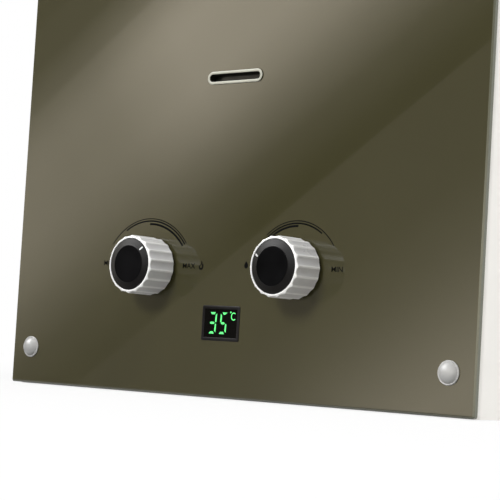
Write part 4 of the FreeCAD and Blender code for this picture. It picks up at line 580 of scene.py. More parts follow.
# finish: how it is made, its values, and the nodes that wear it
allFinishes = {
    "front_glass": (makeFrontGlass, frontGlass, ("glass_panel",)),
    "galvanised": (makeZinc, zinc, ("front_frame", "bottom_plate", "wall_brackets",
                                    "electrode_bracket")),
    "circuit_board": (makeCircuitBoard, circuitBoard, ("display_module",)),
    "cell_wrap": (makeCellWrap, cellWrap, ("battery_cells",)),
    "foam": (makeFoam, foam, ("foam_tape",)),
    "window_glass": (makeSightPane, sightPane, ("window_pane",)),
}
allFinishes.update({name: (makeInk, look, ()) for name, look in inks.items()})
allFinishes.update({name: (makeFinish, look, look.get("nodes", ()))
    for name, look in finishes.items()})


def dress(piece, finish):
    piece.data.materials.clear()
    piece.data.materials.append(materials[finish])


for finish, (make, look, names) in allFinishes.items():
    make(finish, look)
    for name in names:
        dress(nodes[name], finish)
print("finishes made:", len(materials))

# shared shape work


def settle(piece, body, finish, replaced=(), sharp=35):
    mesh = piece.data
    if finish:
        dress(piece, finish)
    mesh.shade_smooth()
    mesh.set_sharp_from_angle(angle=radians(sharp))
    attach(piece, body)
    if replaced:
        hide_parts(*replaced)
    return piece


def turnOut(mesh):
    shape = bmesh.new()
    shape.from_mesh(mesh)
    bmesh.ops.remove_doubles(shape, verts=shape.verts, dist=1e-7)
    bmesh.ops.recalc_face_normals(shape, faces=shape.faces)
    shape.to_mesh(mesh)
    shape.free()
    return mesh


def meshOf(name, corners, faces):
    mesh = bpy.data.meshes.new(name)
    mesh.from_pydata([tuple(corner) for corner in corners], [], faces)
    return turnOut(mesh)


def joined(name, meshes):
    shape = bmesh.new()
    for mesh in meshes:
        shape.from_mesh(mesh)
        bpy.data.meshes.remove(mesh)
    mesh = bpy.data.meshes.new(name)
    shape.to_mesh(mesh)
    shape.free()
    return mesh


def plainMesh(piece):
    return bpy.data.meshes.new_from_object(
        piece.evaluated_get(bpy.context.evaluated_depsgraph_get()))


def smoothCopy(name, node, body, finish, sharp=30):
    # same shape as the node, with its triangles joined so that round faces shade as round
    mesh = turnOut(nodes[node].data.copy())
    mesh.attributes.remove(mesh.attributes["custom_normal"])  # belongs to the loose triangles
    return settle(newPiece(name, mesh), body, finish, (node,), sharp)


def metres(spot):
    return tuple(part * mm for part in spot)


def setAt(mesh, spot, angle=0.0, axis="X"):
    # turns the mesh round an axis, then moves it to a spot in mm
    mesh.transform(Matrix.Translation(metres(spot)) @ Matrix.Rotation(angle, 4, axis))


def circle(count):
    return [2 * pi * step / count for step in range(count)]


def eased(outline, radius, steps=3):
    # rounds each inner corner of an open outline
    done = [outline[0]]
    for before, corner, after in zip(outline, outline[1:], outline[2:]):
        here = Vector(corner)
        back, onward = Vector(before) - here, Vector(after) - here
        if back.length < 1e-9 or onward.length < 1e-9:
            continue
        if abs(back.angle(onward) - pi) < 0.15:
            done.append(corner)
            continue
        reach = min(radius, back.length * 0.45, onward.length * 0.45)
        first, last = here + back.normalized() * reach, here + onward.normalized() * reach
        for step in range(steps + 1):
            part = step / steps
            done.append(tuple(first.lerp(here, part).lerp(here.lerp(last, part), part)))
    done.append(outline[-1])
    return done


def strip(low, high, around):
    # faces between two loops of corner numbers; a loop may be a single corner
    faces = []
    for step in range(around):
        after = (step + 1) % around
        quad = [low[step % len(low)], low[after % len(low)], high[after % len(high)],
            high[step % len(high)]]
        face = list(dict.fromkeys(quad))
        if len(face) > 2:
            faces.append(face)
    return faces


def turned(name, outline, around, marks=None, ring=False):
    # outline of (radius, height) in mm spun round z; marks are named weights for carving
    corners, rings, faces = [], [], []
    for radius, height in map(metres, outline):
        spots = ([(radius * cos(angle), radius * sin(angle), height) for angle in circle(around)]
            if radius > 1e-7 else [(0, 0, height)])
        rings.append(list(range(len(corners), len(corners) + len(spots))))
        corners += spots
    for low, high in list(zip(rings, rings[1:])) + ([(rings[-1], rings[0])] if ring else []):
        faces += strip(low, high, around)
    mesh = bpy.data.meshes.new(name)
    mesh.from_pydata(corners, [], faces)
    for mark, weight in (marks or {}).items():
        values = mesh.attributes.new(mark, "FLOAT", "POINT")
        for vertex in mesh.vertices:
            values.data[vertex.index].value = weight(hypot(vertex.co.x, vertex.co.y), vertex.co.z)
    return mesh


socketKinds = {float: "NodeSocketFloat", int: "NodeSocketInt", tuple: "NodeSocketVector",
               type(None): "NodeSocketMaterial"}


def newTree(name, inputs):
    tree = bpy.data.node_groups.new(name, "GeometryNodeTree")
    newSocket = tree.interface.new_socket
    for way in ("OUTPUT", "INPUT"):
        newSocket(name="Geometry", in_out=way, socket_type="NodeSocketGeometry")
    for label, value in {**inputs, "Finish": None}.items():
        socket = newSocket(name=label, in_out="INPUT", socket_type=socketKinds[type(value)])
        if value is not None:
            socket.default_value = value
    return tree, put(tree, "NodeGroupInput").outputs


def endTree(tree, given, geometry):
    real = put(tree, "GeometryNodeRealizeInstances", {0: geometry})
    painted = put(tree, "GeometryNodeSetMaterial", {"Geometry": real, "Material": given["Finish"]})
    put(tree, "NodeGroupOutput", {0: painted})


def grown(name, mesh, tree, finish, **values):
    # runs the tree on the mesh and keeps the result as a plain mesh
    piece = newPiece(name, mesh)
    modifier = piece.modifiers.new("shape", "NODES")
    modifier.node_group = tree
    settings = {**labelled(values), "Finish": materials[finish]}
    for socket in tree.interface.items_tree:
        if socket.in_out == "INPUT" and socket.name in settings:
            modifier[socket.identifier] = settings[socket.name]
    result = plainMesh(piece)
    piece.modifiers.remove(modifier)
    piece.data = turnOut(result)
    result.name = name
    return piece


def carvingTree(name, inputs, depthOf, mark=None):
    # takes depthOf off the radius round z, then puts the shape in its place; the second
    # thing that depthOf gives is kept on the mesh under the name in mark
    tree, given = newTree(name, {**inputs, "Place": (0.0, 0.0, 0.0), "Turn": (0.0, 0.0, 0.0)})
    spot = put(tree, "GeometryNodeInputPosition")
    x, y, z = put(tree, "SeparateXYZ", {0: spot}).outputs
    flat = put(tree, "CombineXYZ", {0: x, 1: y})
    radius = put(tree, "VectorMath", {0: flat}, operation="LENGTH").outputs["Value"]
    depth, kept = depthOf(given, radius, calc("ARCTAN2", y, x), z)
    share = less(1.0, calc("DIVIDE", depth, calc("MAXIMUM", radius, 1e-6)))
    moved = put(tree, "CombineXYZ", {0: times(x, share), 1: times(y, share), 2: z})
    carved = put(tree, "GeometryNodeSetPosition", {"Geometry": given["Geometry"],
        "Position": moved})
    if mark:
        carved = put(tree, "GeometryNodeStoreNamedAttribute", {"Geometry": carved, "Name": mark,
            "Value": kept}, data_type="FLOAT", domain="POINT")
    placed = put(tree, "GeometryNodeTransform", {"Geometry": carved, "Translation": given["Place"],
        "Rotation": given["Turn"]})
    endTree(tree, given, placed)
    return tree


def markOf(given, name):
    return put(given[0].id_data, "GeometryNodeInputNamedAttribute", {"Name": name},
        data_type="FLOAT")


def rowsTree():
    # copies a piece in rows and columns
    tree, given = newTree("rowsAndColumns", {"Rows": 2, "Row step": (0.0, 0.0, 0.01), "Columns": 1,
        "Column step": (0.01, 0.0, 0.0)})
    geometry = given["Geometry"]
    for label in ("Row", "Column"):
        line = put(tree, "GeometryNodeMeshLine", {"Count": given[label + "s"],
            "Offset": given[label + " step"]})
        copies = put(tree, "GeometryNodeInstanceOnPoints", {"Points": line, "Instance": geometry})
        geometry = put(tree, "GeometryNodeRealizeInstances", {0: copies})
    endTree(tree, given, geometry)
    return tree


repeated = rowsTree()


def inGrid(name, mesh, finish, rows, columns=(1, (10, 0, 0))):
    # rows and columns are each a count and a step in mm
    return grown(name, mesh, repeated, finish, Rows=rows[0], Row_step=metres(rows[1]),
        Columns=columns[0], Column_step=metres(columns[1]))


print("shape helpers ready")

# knobs

knobShape = {
    "length": 19.4, "radius": 16.3, "chamfer": 1.0, "flutes": 18,
    "fluteDepth": 0.7, "crest": 0.06, "fluteTurn": {"gas": 9.6, "water": 1.7},
    "capRadius": 14.55, "capDepth": 3.2, "discRadius": 10.2, "discRise": 1.2,
    "bore": 3.02, "boreDepth": 12.0, "capGap": 0.02, "skirtEase": 0.25, "capEase": 0.3,
    "facing": (pi / 2, 0.0, 0.0),
    # inner and outer end, width, how square its ends and sides are, and its two levels
    "pointer": (11.1, 13.6, 0.95), "pointerRound": (0.35, 0.6), "pointerLevels": (-0.08, 0.10),
    "pointerCorners": 20, "pointerTurn": {"gas": 45, "water": -63},
    "axis": {"gas": -51.7, "water": 51.7}, "height": 71.5,
}


def fluteDepth(given, radius, angle, along):
    turn = calc("FRACT", calc("DIVIDE", times(angle, given["Flutes"]), 2 * pi))
    off = calc("ABSOLUTE", calc("MULTIPLY_ADD", turn, 2.0, -1.0))
    off = calc("MINIMUM", calc("DIVIDE", off, less(1.0, given["Crest"])), 1.0)
    hollow = times(given["Depth"], less(1.0, times(off, off)))
    depth = calc("MAXIMUM", less(radius, less(given["Radius"], hollow)), 0.0)
    return times(depth, markOf(given, "skirt")), off


fluteTree = carvingTree("flutedKnob", {"Flutes": 18, "Depth": 0.001, "Crest": 0.06,
    "Radius": 0.016}, fluteDepth, "crest")


def makeKnob(kind, look):
    length, radius, cut = look["length"], look["radius"], look["chamfer"]
    cap, floor, bore = look["capRadius"], length - look["capDepth"], look["bore"]
    body = kind + "_knob_set"
    centre = (look["axis"][kind] * mm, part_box(kind + "_knob")[1].y, look["height"] * mm)
    stand = Matrix.Translation(centre) @ Euler(look["facing"]).to_matrix().to_4x4()
    outline = eased([(bore, 0.0), (radius - 3, 0.0), (radius - 0.5, 0.0), (radius, 0.5),
        (radius, 4), (radius, 9), (radius, 14), (radius, length - cut), (radius - cut, length),
        (cap, length), (cap, floor), (0.0, floor)], look["skirtEase"])
    outline += [(0.0, look["boreDepth"]), (bore, look["boreDepth"])]
    skirt = turned(kind + "Skirt", outline, look["flutes"] * 12,
        {"skirt": lambda far, up: float(far > (cap + 0.12) * mm)}, True)
    knob = grown(kind + "Knob", skirt, fluteTree, "knob_silver", Flutes=look["flutes"],
        Depth=look["fluteDepth"] * mm, Crest=look["crest"], Radius=radius * mm, Place=centre,
        Turn=(pi / 2, -radians(look["fluteTurn"][kind]), 0.0))
    settle(knob, body, None, (kind + "_knob",), 24)

    rim, disc, top = cap - look["capGap"], look["discRadius"], length + look["discRise"]
    outline = eased([(0.0, floor), (rim, floor), (rim, length - 0.5), (rim - 0.3, length - 0.2),
        (disc + 0.35, top - 0.35), (disc + 0.1, top), (disc - 0.5, top), (disc - 4, top),
        (0.0, top)], look["capEase"])
    plate = turned(kind + "Plate", outline, 96)
    plate.transform(stand)
    settle(newPiece(kind + "Cap", turnOut(plate)), body, "knob_black",
        (kind + "_knob_cap",), 30)

    inner, outer, width = look["pointer"]
    slope = (look["discRise"] - 0.15) / (rim - 0.3 - disc - 0.35)
    corners, count = [], look["pointerCorners"]
    endPower, sidePower = look["pointerRound"]
    for layer in look["pointerLevels"]:
        for angle in circle(count):
            far = (inner + outer) / 2 + (outer - inner) / 2 * copysign(abs(cos(angle)) ** endPower,
                cos(angle))
            side = width / 2 * copysign(abs(sin(angle)) ** sidePower, sin(angle))
            corners.append(metres((side, far, length - 0.2 + (rim - 0.3 - far) * slope + layer)))
    low, high = range(count), range(count, 2 * count)
    mark = bpy.data.meshes.new(kind + "Pointer")
    mark.from_pydata(corners, [], [list(low)[::-1], list(high)] + strip(low, high, count))
    mark.transform(stand @ Matrix.Rotation(-radians(look["pointerTurn"][kind]), 4, "Z"))
    settle(newPiece(kind + "Pointer", turnOut(mark)), body, "whiteInk")


for kind in ("gas", "water"):
    makeKnob(kind, knobShape)
print("knobs made")

# screws

screwShape = {
    "dome": {"radius": 5.4, "rise": 3.5, "flange": 6.2, "flangeThick": 0.9, "shank": 2.0,
             "shankLong": 9.4, "across": 149.4, "heights": (22, 428), "glass": -54.4},
    "panHead": {"radius": 3.2, "rise": 1.2, "shank": 1.5, "shankLong": 3.4,
                "deep": (-19.2, 46.8), "heights": (22, 443), "side": 163.5},
    "bracketHead": {"radius": 3.6, "rise": 1.6, "shank": 2.0, "shankLong": 5.8, "back": 76.4,
                    "spots": ((62, 426), (20, 55))},
    # shares of the head's radius or rise, and how steeply its dome falls off
    "cross": {"long": 0.62, "half": 0.115, "foot": 0.3, "mouth": 1.3, "turn": 0.3,
              "drop": 0.42, "fall": 2.4},
}


def makeDomes(look):
    rise, dome, flange, lip = (look[key] for key in ("rise", "radius", "flange", "flangeThick"))
    ball = (dome * dome + rise * rise) / (2 * rise)
    top = lip + rise
    outline = [(0.0, top)]
    for step in range(1, 15):
        far = dome * sin(pi / 2 * step / 14)
        outline.append((far, top - ball + sqrt(ball * ball - far * far)))
    outline += [(dome + 0.12, lip - 0.12), (dome + 0.35, lip), (flange - 0.25, lip),
        (flange, lip - 0.25), (flange, 0.12), (flange - 0.12, 0.0), (look["shank"], 0.0),
        (look["shank"], -look["shankLong"]), (0.0, -look["shankLong"])]
    across, (low, high) = look["across"], look["heights"]
    mesh = turned("dome", outline, 64)
    setAt(mesh, (-across, look["glass"], low), pi / 2)
    piece = inGrid("frontDomes", mesh, "dome_satin", (2, (2 * across, 0, 0)),
        (2, (0, 0, high - low)))
    settle(piece, "heater", None, ("corner_cap_screws",), 40)


def crossHead(name, look):
    # low domed head with a cross recess and a short shank, standing on z = 0
    radius, rise, shank = look["radius"], look["rise"], look["shank"]
    cross = screwShape["cross"]
    outline = [(0.0, rise)]
    for step in range(1, 9):
        far = radius * step / 8
        outline.append((far, rise * (1 - cross["drop"] * (far / radius) ** cross["fall"])))
    outline += [(radius, 0.12), (radius - 0.12, 0.0), (shank, 0.0), (shank, -look["shankLong"]),
        (0.0, -look["shankLong"])]
    head = newPiece(name, turnOut(turned(name, outline, 40)))
    size, half = radius * cross["long"], radius * cross["half"]
    # share of the width and of the thickness, then the height, at the recess's foot and mouth
    ends = ((0.35, 0.7, rise * cross["foot"]), (1, 1, rise * cross["mouth"]))
    arms = []
    for turn in (0, pi / 2):
        corners = [(x * size * wide, y * half * thick, up)
            for wide, thick, up in ends for x, y in square]
        arm = meshOf("arm", [Vector(corner) * mm for corner in corners],
            [(0, 1, 2, 3), (4, 5, 6, 7), (0, 1, 5, 4), (1, 2, 6, 5), (2, 3, 7, 6), (3, 0, 4, 7)])
        arm.transform(Matrix.Rotation(turn + cross["turn"], 4, "Z"))
        arms.append(newPiece("arm", arm))
        modifier = head.modifiers.new("recess", "BOOLEAN")
        modifier.operation, modifier.solver, modifier.object = "DIFFERENCE", "EXACT", arms[-1]
    mesh = plainMesh(head)
    for helper in (head, *arms):
        bpy.data.objects.remove(helper)
    return mesh


def makeCaseScrews(look):
    head = crossHead("panHead", look)
    (front, rear), (low, high) = look["deep"], look["heights"]
    pair = []
    for side in (-1, 1):
        pair.append(head.copy())
        setAt(pair[-1], (side * look["side"], front, low), side * pi / 2, "Y")
    piece = inGrid("sideScrews", joined("sideScrewPair", pair), "screw_steel",
        (2, (0, rear - front, 0)), (2, (0, 0, high - low)))
    settle(piece, "heater", None, ("case_screws",), 35)


makeDomes(screwShape["dome"])
makeCaseScrews(screwShape["panHead"])
print("screws made")

# marks on the glass

marks = {
    "face": -54.44, "back": -54.39,
    # centre, then inner radius, outer radius, first and last angle from upright
    "arcs": {(-57.1, 63.3): ((35.3, 35.85, -54, 52.5), (33.85, 34.7, -33, 52.2),
                             (31.9, 33.1, -1, 51.6)),
             (49.3, 66.7): ((30.3, 30.85, -42, 55.5), (28.8, 29.65, -42, 35.5),
                            (27.2, 28.35, -40, 2))},
    "letterHeight": 2.95, "letterWiden": 1.08, "capShare": 0.729,     # capitals in the font's size
    "letterHalf": 0.000025, "letterBold": 0.000042,         # half thickness and gain, in m
    # word, left end and middle height
    "words": (("MIN", -92.6, 73.3), ("MAX", -30.8, 72.4), ("MAX", 18.9, 72.9),
              ("MIN", 73.5, 71.9)),
    "flame": (-16.9, 72.7, 5.2),
    "drop": (15.7, 73.05, 4.5),
}


def prism(name, outline, face, back):
    # flat shape of (x, z) in mm, given a front and a back
    count = len(outline)
    corners = [metres((x, y, z)) for y in (face, back) for x, z in outline]
    faces = [list(range(count)), list(range(count, 2 * count))[::-1]]
    faces += [[step, step + count, (step + 1) % count + count, (step + 1) % count]
        for step in range(count)]
    return meshOf(name, corners, faces)


def arcOutline(centre, level, inner, outer, first, last):
    steps = max(8, int(abs(last - first) / 2))
    angles = [radians(first + (last - first) * step / steps) for step in range(steps + 1)]
    return [(centre + far * sin(angle), level + far * cos(angle)) for far, row in ((outer, angles),
        (inner, angles[::-1])) for angle in row]


def wordMesh(word, left, level, look):
    height = look["letterHeight"]
    curve = bpy.data.curves.new(word, "FONT")
    curve.body, curve.size = word, height * mm / look["capShare"]
    curve.align_y, curve.resolution_u = "BOTTOM_BASELINE", 4
    curve.extrude, curve.offset = look["letterHalf"], look["letterBold"]
    text = newPiece(word, curve)
    mesh = plainMesh(text)
    bpy.data.objects.remove(text)
    spot = metres((left, (look["face"] + look["back"]) / 2, level - height / 2))
    mesh.transform(Matrix.Translation(spot) @ Matrix.Rotation(pi / 2, 4, "X")
        @ Matrix.Diagonal((look["letterWiden"], 1.0, 1.0, 1.0)))
    return turnOut(mesh)


def flameOutline(centre, level, height, inset=0.0):
    half = height * 0.34
    shape = [(0.0, -0.5), (0.55, -0.46), (0.92, -0.28), (1.0, -0.05), (0.86, 0.14), (0.62, 0.02),
        (0.52, 0.22), (0.34, 0.40), (0.02, 0.5), (0.06, 0.30), (-0.12, 0.14), (-0.42, 0.0),
        (-0.72, -0.02), (-0.90, -0.16), (-0.86, -0.32), (-0.52, -0.46)]
    return [(centre + x * half * (1 - inset), level + (y - inset * 0.14) * height * (1 - inset))
        for x, y in shape]


def dropOutline(centre, level, height):
    # round below, drawn in to a point above
    outline = []
    for angle in circle(28):
        up = cos(angle)
        side = sin(angle) * (1 if up < 0.25 else 1 - (up - 0.25) * 0.9)
        reach = up if up > 0 else up * 0.75
        outline.append((centre + side * height * 0.30, level + height * 0.5 * reach))
    return outline


def makeMarks(look):
    face, back = look["face"], look["back"]
    parts = [prism("arc", arcOutline(*centre, *arc), face, back)
        for centre, arcs in look["arcs"].items() for arc in arcs]
    parts += [wordMesh(*word, look) for word in look["words"]]
    outer, inner = flameOutline(*look["flame"]), flameOutline(*look["flame"], 0.55)
    count = len(outer)
    corners = [metres((x, y, z)) for y in (face, back) for ring in (outer, inner) for x, z in ring]
    faces = []
    for step in range(count):
        after = (step + 1) % count
        for a, b in ((0, count), (3 * count, 2 * count), (2 * count, 0), (count, 3 * count)):
            faces.append([a + step, a + after, b + after, b + step])
    parts.append(meshOf("flame", corners, faces))
    parts.append(prism("drop", dropOutline(*look["drop"]), face, back))
    settle(newPiece("printedMarks", joined("printedMarks", parts)), "heater", "blackInk")


makeMarks(marks)
print("marks made")

# temperature display and sight window

displayShape = {
    "face": -54.68, "back": -54.58, "height": 11.8, "width": 4.7, "stroke": 1.2,
    "bar": 0.95, "cut": 1.2, "lean": 0.06, "base": 35.3,
    "digits": ((-8.1, "abcdg"), (-0.7, "acdfg")),
    "sightRing": ("window_bezel", "window_metal", 3.6, 1.5, 12),
    "displayFrame": ("display_bezel", "display_frame", 1.0, 1.85, 5),
    "unit": {"centre": (9.2, 45.1), "half": (1.9, 2.2), "stroke": 0.55, "opening": 48,
             "degree": (7.0, 47.3), "degreeRadius": 0.5},
}


def segmentOutlines(left, base, look, names):
    # the bars of a digit, each pointed where it meets its neighbour
    wide, high, thick, bar, cut = (look[key] for key in ("width", "height", "stroke", "bar",
        "cut"))
    middle = high / 2
    first = cut if "f" in names else 0.0
    last = wide - cut
    flat = {
        "a": [(first, high), (last if "b" in names else wide, high),
              (last - 0.6, high - thick), (first + 0.9, high - thick)],
        "g": [(first * 0.45, middle), (first * 0.45 + 0.7, middle + thick / 2),
              (last - 0.7, middle + thick / 2), (last, middle),
              (last - 0.7, middle - thick / 2), (first * 0.45 + 0.7, middle - thick / 2)],
        "d": [(0.9, thick), (last - 0.6, thick), (last, 0.0), (0.0, 0.0)],
        "b": [(wide, high - 0.75), (wide, middle + 0.75), (wide - bar / 2, middle + 0.3),
              (wide - bar, middle + 0.85), (wide - bar, high - 1.75)],
    }
    flat["c"] = [(x, high - z) for x, z in flat["b"]][::-1]
    flat["f"] = [(wide - x, z) for x, z in flat["b"]][::-1]
    return [[(left + x + z * look["lean"], base + z) for x, z in flat[name]] for name in names]


def makeDigits(look):
    outlines = []
    for left, names in look["digits"]:
        outlines += segmentOutlines(left, look["base"], look, names)
    unit = look["unit"]
    (x, z), (wide, high), thick = unit["centre"], unit["half"], unit["stroke"]
    angles = [radians(unit["opening"] + (360 - 2 * unit["opening"]) * step / 26)
        for step in range(27)]
    outlines.append([(x + (wide - inset) * cos(angle), z + (high - inset) * sin(angle))
        for inset, row in ((0, angles), (thick, angles[::-1])) for angle in row])
    (x, z), far = unit["degree"], unit["degreeRadius"]
    outlines.append([(x + far * cos(angle), z + far * sin(angle)) for angle in circle(20)])
    parts = [prism("bar", outline, look["face"], look["back"]) for outline in outlines]
    settle(newPiece("litDigits", joined("litDigits", parts)), "heater", "litGreen")


def boxLoop(low, high, corner, steps):
    # rounded rectangle in x and z, smaller by the inset
    def at(inset):
        radius = max(corner - inset, 0.05)
        points = []
        for index, (sx, sz) in enumerate(((1, 1), (-1, 1), (-1, -1), (1, -1))):
            middleX = (high[0] if sx > 0 else low[0]) - sx * (inset + radius)
            middleZ = (high[1] if sz > 0 else low[1]) - sz * (inset + radius)
            for step in range(steps + 1):
                angle = pi / 2 * (index + step / steps)
                points.append((middleX + radius * cos(angle), middleZ + radius * sin(angle)))
        return points
    return at


def frameFrom(name, node, finish, corner, rim, steps):
    # closed frame of the node's size: each (inset, y) of the profile is one loop
    low, high = (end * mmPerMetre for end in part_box(node))
    front, back = low.y, high.y
    loopAt = boxLoop((low.x, low.z), (high.x, high.z), corner, steps)
    profile = [(0.0, back), (0.0, front + 0.3), (0.09, front + 0.09), (0.3, front),
        (rim - 0.3, front), (rim - 0.09, front + 0.09), (rim, front + 0.3), (rim, back)]
    corners = [metres((x, deep, z)) for inset, deep in profile for x, z in loopAt(inset)]
    count = 4 * (steps + 1)
    loops = [range(start, start + count) for start in range(0, len(corners), count)]
    faces = []
    for loop, onward in zip(loops, loops[1:] + loops[:1]):
        faces += strip(loop, onward, count)
    settle(newPiece(name, meshOf(name, corners, faces)), "heater", finish, (node,), 40)


makeDigits(displayShape)
for name in ("sightRing", "displayFrame"):
    frameFrom(name, *displayShape[name])
print("display and sight window made")

# louvres

louvreShape = {
    "length": 56, "height": 4, "first": 150, "pitch": 11, "rows": 8, "sideCentre": 10.8,
    "columnStep": 80, "columns": 3, "thick": 0.7, "side": {"at": 163.5, "proud": 1.35},
    "back": {"at": 70.8, "proud": 2.3},
}


def lipMesh(look, proud, steps=14, across=28):
    # hooded lip over one slot: x outwards, y along it, z up, slot centre at 0
    half, top = look["length"] / 2 + 1.5, look["height"] / 2 + 1.6
    low = -look["height"] / 2 + 1.2
    outer, inner = [], []
    for row in range(steps + 1):
        part = row / steps
        for column in range(across + 1):
            along = -1 + 2 * column / across
            end = max(0.0, 1 - abs(along) ** 9) ** 0.5
            out = proud * sin(pi / 2 * min(part * 1.5, 1.0)) ** 0.8 * end
            up = top + (low - top) * part
            outer.append((out, along * half, up))
            inner.append((max(out - look["thick"], -0.6), along * (half - 0.5), up))
    count, wide, faces = len(outer), across + 1, []
    for row in range(steps):
        for a in range(row * wide, row * wide + across):
            faces += [[a, a + 1, a + 1 + wide, a + wide], [count + a + wide, count + a + 1 + wide,
                count + a + 1, count + a]]
    last = steps * wide
    rim = [*range(wide), *range(across + wide, last + wide, wide),
        *range(last + across - 1, last - 1, -1), *range(last - wide, 0, -wide)]
    faces += strip(rim, [corner + count for corner in rim], len(rim))
    return meshOf("lip", [Vector(corner) * mm for corner in outer + inner], faces)


def makeLouvres(look):
    rows, step = (look["rows"], (0, 0, look["pitch"])), look["columnStep"]
    pair = []
    for turn, side in ((0, 1), (pi, -1)):
        pair.append(lipMesh(look, look["side"]["proud"]))
        setAt(pair[-1], (side * look["side"]["at"], look["sideCentre"], look["first"]), turn, "Z")
    back = lipMesh(look, look["back"]["proud"])
    setAt(back, (-step, look["back"]["at"], look["first"]), pi / 2, "Z")
    columns = (look["columns"], (step, 0, 0))
    for piece in (inGrid("sideLouvres", joined("sideLips", pair), "case_paint", rows),
                  inGrid("backLouvres", back, "case_paint", rows, columns)):
        settle(piece, "heater", None, (), 40)


makeLouvres(louvreShape)
print("louvres made")

# threaded fittings under the floor

fittingShape = {
    "low": 4, "threadRadius": 10.48, "relief": 9.28, "threadTop": 18, "hexLow": 19,
    "hexHigh": 27, "hexRadius": 14.5, "lockLow": 28, "lockHigh": 33, "lockRadius": 13.5,
    "top": 47, "bore": 7.5, "pitch": 1.814, "threadDepth": 0.95, "deep": 5.6,
    "places": {"gas_inlet": -51.7, "cold_water_inlet": 74.0, "hot_water_outlet": -105.0},
}


def threadDepth(given, radius, angle, along):
    turn = less(calc("DIVIDE", along, given["Pitch"]), calc("DIVIDE", angle, 2 * pi))
    wave = calc("MULTIPLY_ADD", calc("FRACT", calc("ADD", turn, 100.0)), 2.0, -1.0)
    groove = times(spread(calc("ABSOLUTE", wave), 0.12, 0.88), given["Depth"])
    sector = less(calc("FLOORED_MODULO", angle, pi / 3), pi / 6)
    flat = calc("DIVIDE", times(given["Hexagon"], cos(pi / 6)), calc("COSINE", sector))
    small = times(flat, calc("DIVIDE", given["Lock"], given["Hexagon"]))
    cut, cutSmall = (times(calc("MAXIMUM", less(radius, size), 0.0), markOf(given, mark))
        for size, mark in ((flat, "hexagon"), (small, "lock")))
    return calc("ADD", times(groove, markOf(given, "thread")), calc("ADD", cut, cutSmall)), None


threadTree = carvingTree("threadedFitting", {"Pitch": 0.0018, "Depth": 0.0009, "Hexagon": 0.0145,
    "Lock": 0.0135}, threadDepth)


def makeFitting(node, across, look):
    low, threadTop, relief, bore, top = (look[key] for key in ("low", "threadTop", "relief",
        "bore", "top"))
    nuts = ((look["hexLow"], look["hexHigh"], look["hexRadius"]), (look["lockLow"],
        look["lockHigh"], look["lockRadius"]))
    outline = [(bore, low), (relief - 0.1, low), (relief, low + 0.1)]
    steps = int((threadTop - low - 1) / look["pitch"] * 9)
    outline += [(look["threadRadius"], low + 1 + (threadTop - low - 1) * step / steps)
        for step in range(steps + 1)]
    outline += [(relief, threadTop + 0.6), (relief, look["hexLow"])]
    for foot, head, size in nuts:
        inner = size * 0.86
        outline += [(inner, foot), (size * 0.93, foot + 0.35), (size, foot + 0.95),
            (size, (foot + head) / 2), (size, head - 0.95), (size * 0.93, head - 0.35),
            (inner, head), (relief, head)]
    outline += [(relief, top), (bore, top)]

    def within(foot, head):
        return lambda far, up: float(
            foot - 0.01 <= up / mm <= head + 0.01 and far / mm > relief + 0.2)

    def threadMark(far, up):
        if far / mm < relief + 0.2 or up / mm > threadTop + 0.01:
            return 0.0
        return min(1.0, (threadTop - up / mm) / 1.2 + 0.15, (up / mm - low) / 1.6)

    shell = turned(node, outline, 96, {"thread": threadMark, "hexagon": within(*nuts[0][:2]),
        "lock": within(*nuts[1][:2])}, True)
    piece = grown(node.replace("_", "") + "Fitting", shell, threadTree, "brass",
        Pitch=look["pitch"] * mm, Depth=look["threadDepth"] * mm, Hexagon=look["hexRadius"] * mm,
        Lock=look["lockRadius"] * mm, Place=metres((across, look["deep"], 0)))
    settle(piece, "heater", None, (node,), 28)


for node, across in fittingShape["places"].items():
    makeFitting(node, across, fittingShape)
print("fittings made")

# handle, collar, door and the brackets' screws

gripShape = {
    "half": 48.0, "radius": 6.2, "bore": 3.52, "ribPitch": 4.0, "ribDepth": 0.9,
    "plainEnd": 5.0, "steps": 230, "around": 48, "centre": (0.0, 62.3, 456.6),
}


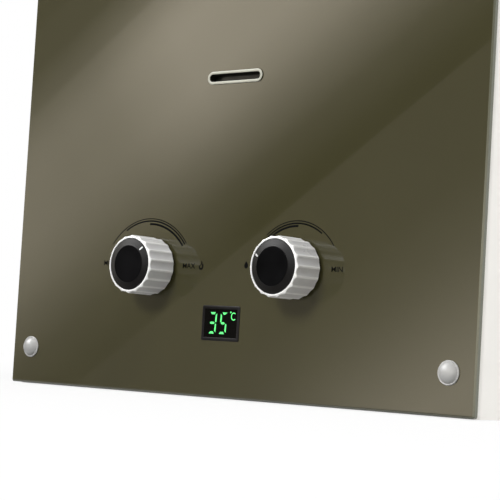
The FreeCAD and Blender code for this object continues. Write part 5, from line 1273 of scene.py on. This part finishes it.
def ribDepth(given, radius, angle, along):
    wave = calc("COSINE", calc("DIVIDE", times(along, 2 * pi), given["Pitch"]))
    groove = spread(wave, 0.25, -0.55, 0.0, 1.0, True)
    return times(times(groove, given["Depth"]), markOf(given, "ribbed")), None


ribTree = carvingTree("ribbedGrip", {"Pitch": 0.004, "Depth": 0.0008}, ribDepth)


def makeGrip(look):
    half, radius, steps = look["half"], look["radius"], look["steps"]
    outline = [(look["bore"], -half), (radius - 1.6, -half), (radius - 0.55, -half + 0.35),
        (radius, -half + 1.6)]
    outline += [(radius, -half + 2 + (2 * half - 4) * step / steps) for step in range(steps + 1)]
    outline += [(radius, half - 1.6), (radius - 0.55, half - 0.35), (radius - 1.6, half),
        (look["bore"], half)]
    limit = (half - look["plainEnd"]) * mm
    sleeve = turned("sleeve", outline, look["around"],
        {"ribbed": lambda far, up: float(abs(up) < limit and far > (radius - 0.1) * mm)}, True)
    piece = grown("ribbedGrip", sleeve, ribTree, "grip_rubber", Pitch=look["ribPitch"] * mm,
        Depth=look["ribDepth"] * mm, Place=metres(look["centre"]), Turn=(0.0, pi / 2, 0.0))
    settle(piece, "handle", None, ("handle_grip",), 50)


def makeBracketScrews(look):
    head = crossHead("bracketHead", look)
    rows = []
    for across, height in look["spots"]:
        one = head.copy()
        setAt(one, (-across, look["back"] - look["rise"], height), -pi / 2)
        piece = inGrid("bracketScrewRow", one, "screw_steel", (2, (2 * across, 0, 0)))
        rows.append(piece.data.copy())
        bpy.data.objects.remove(piece)
    piece = newPiece("bracketScrewHeads", joined("bracketScrewHeads", rows))
    settle(piece, "heater", "screw_steel", ("bracket_screws",), 35)


makeGrip(gripShape)
makeBracketScrews(screwShape["bracketHead"])
smoothCopy("handleLoop", "carry_handle", "handle", "stainless")
smoothCopy("fluePipe", "flue_collar", "heater", "flue_steel")
smoothCopy("handleLugs", "handle_ears", "heater", "galvanised")
smoothCopy("drainTap", "drain_knob", "drain_tap", "red_valve")
smoothCopy("batteryLid", "battery_door", "battery_hatch", "door_plastic")
print("handle, collar and door made")
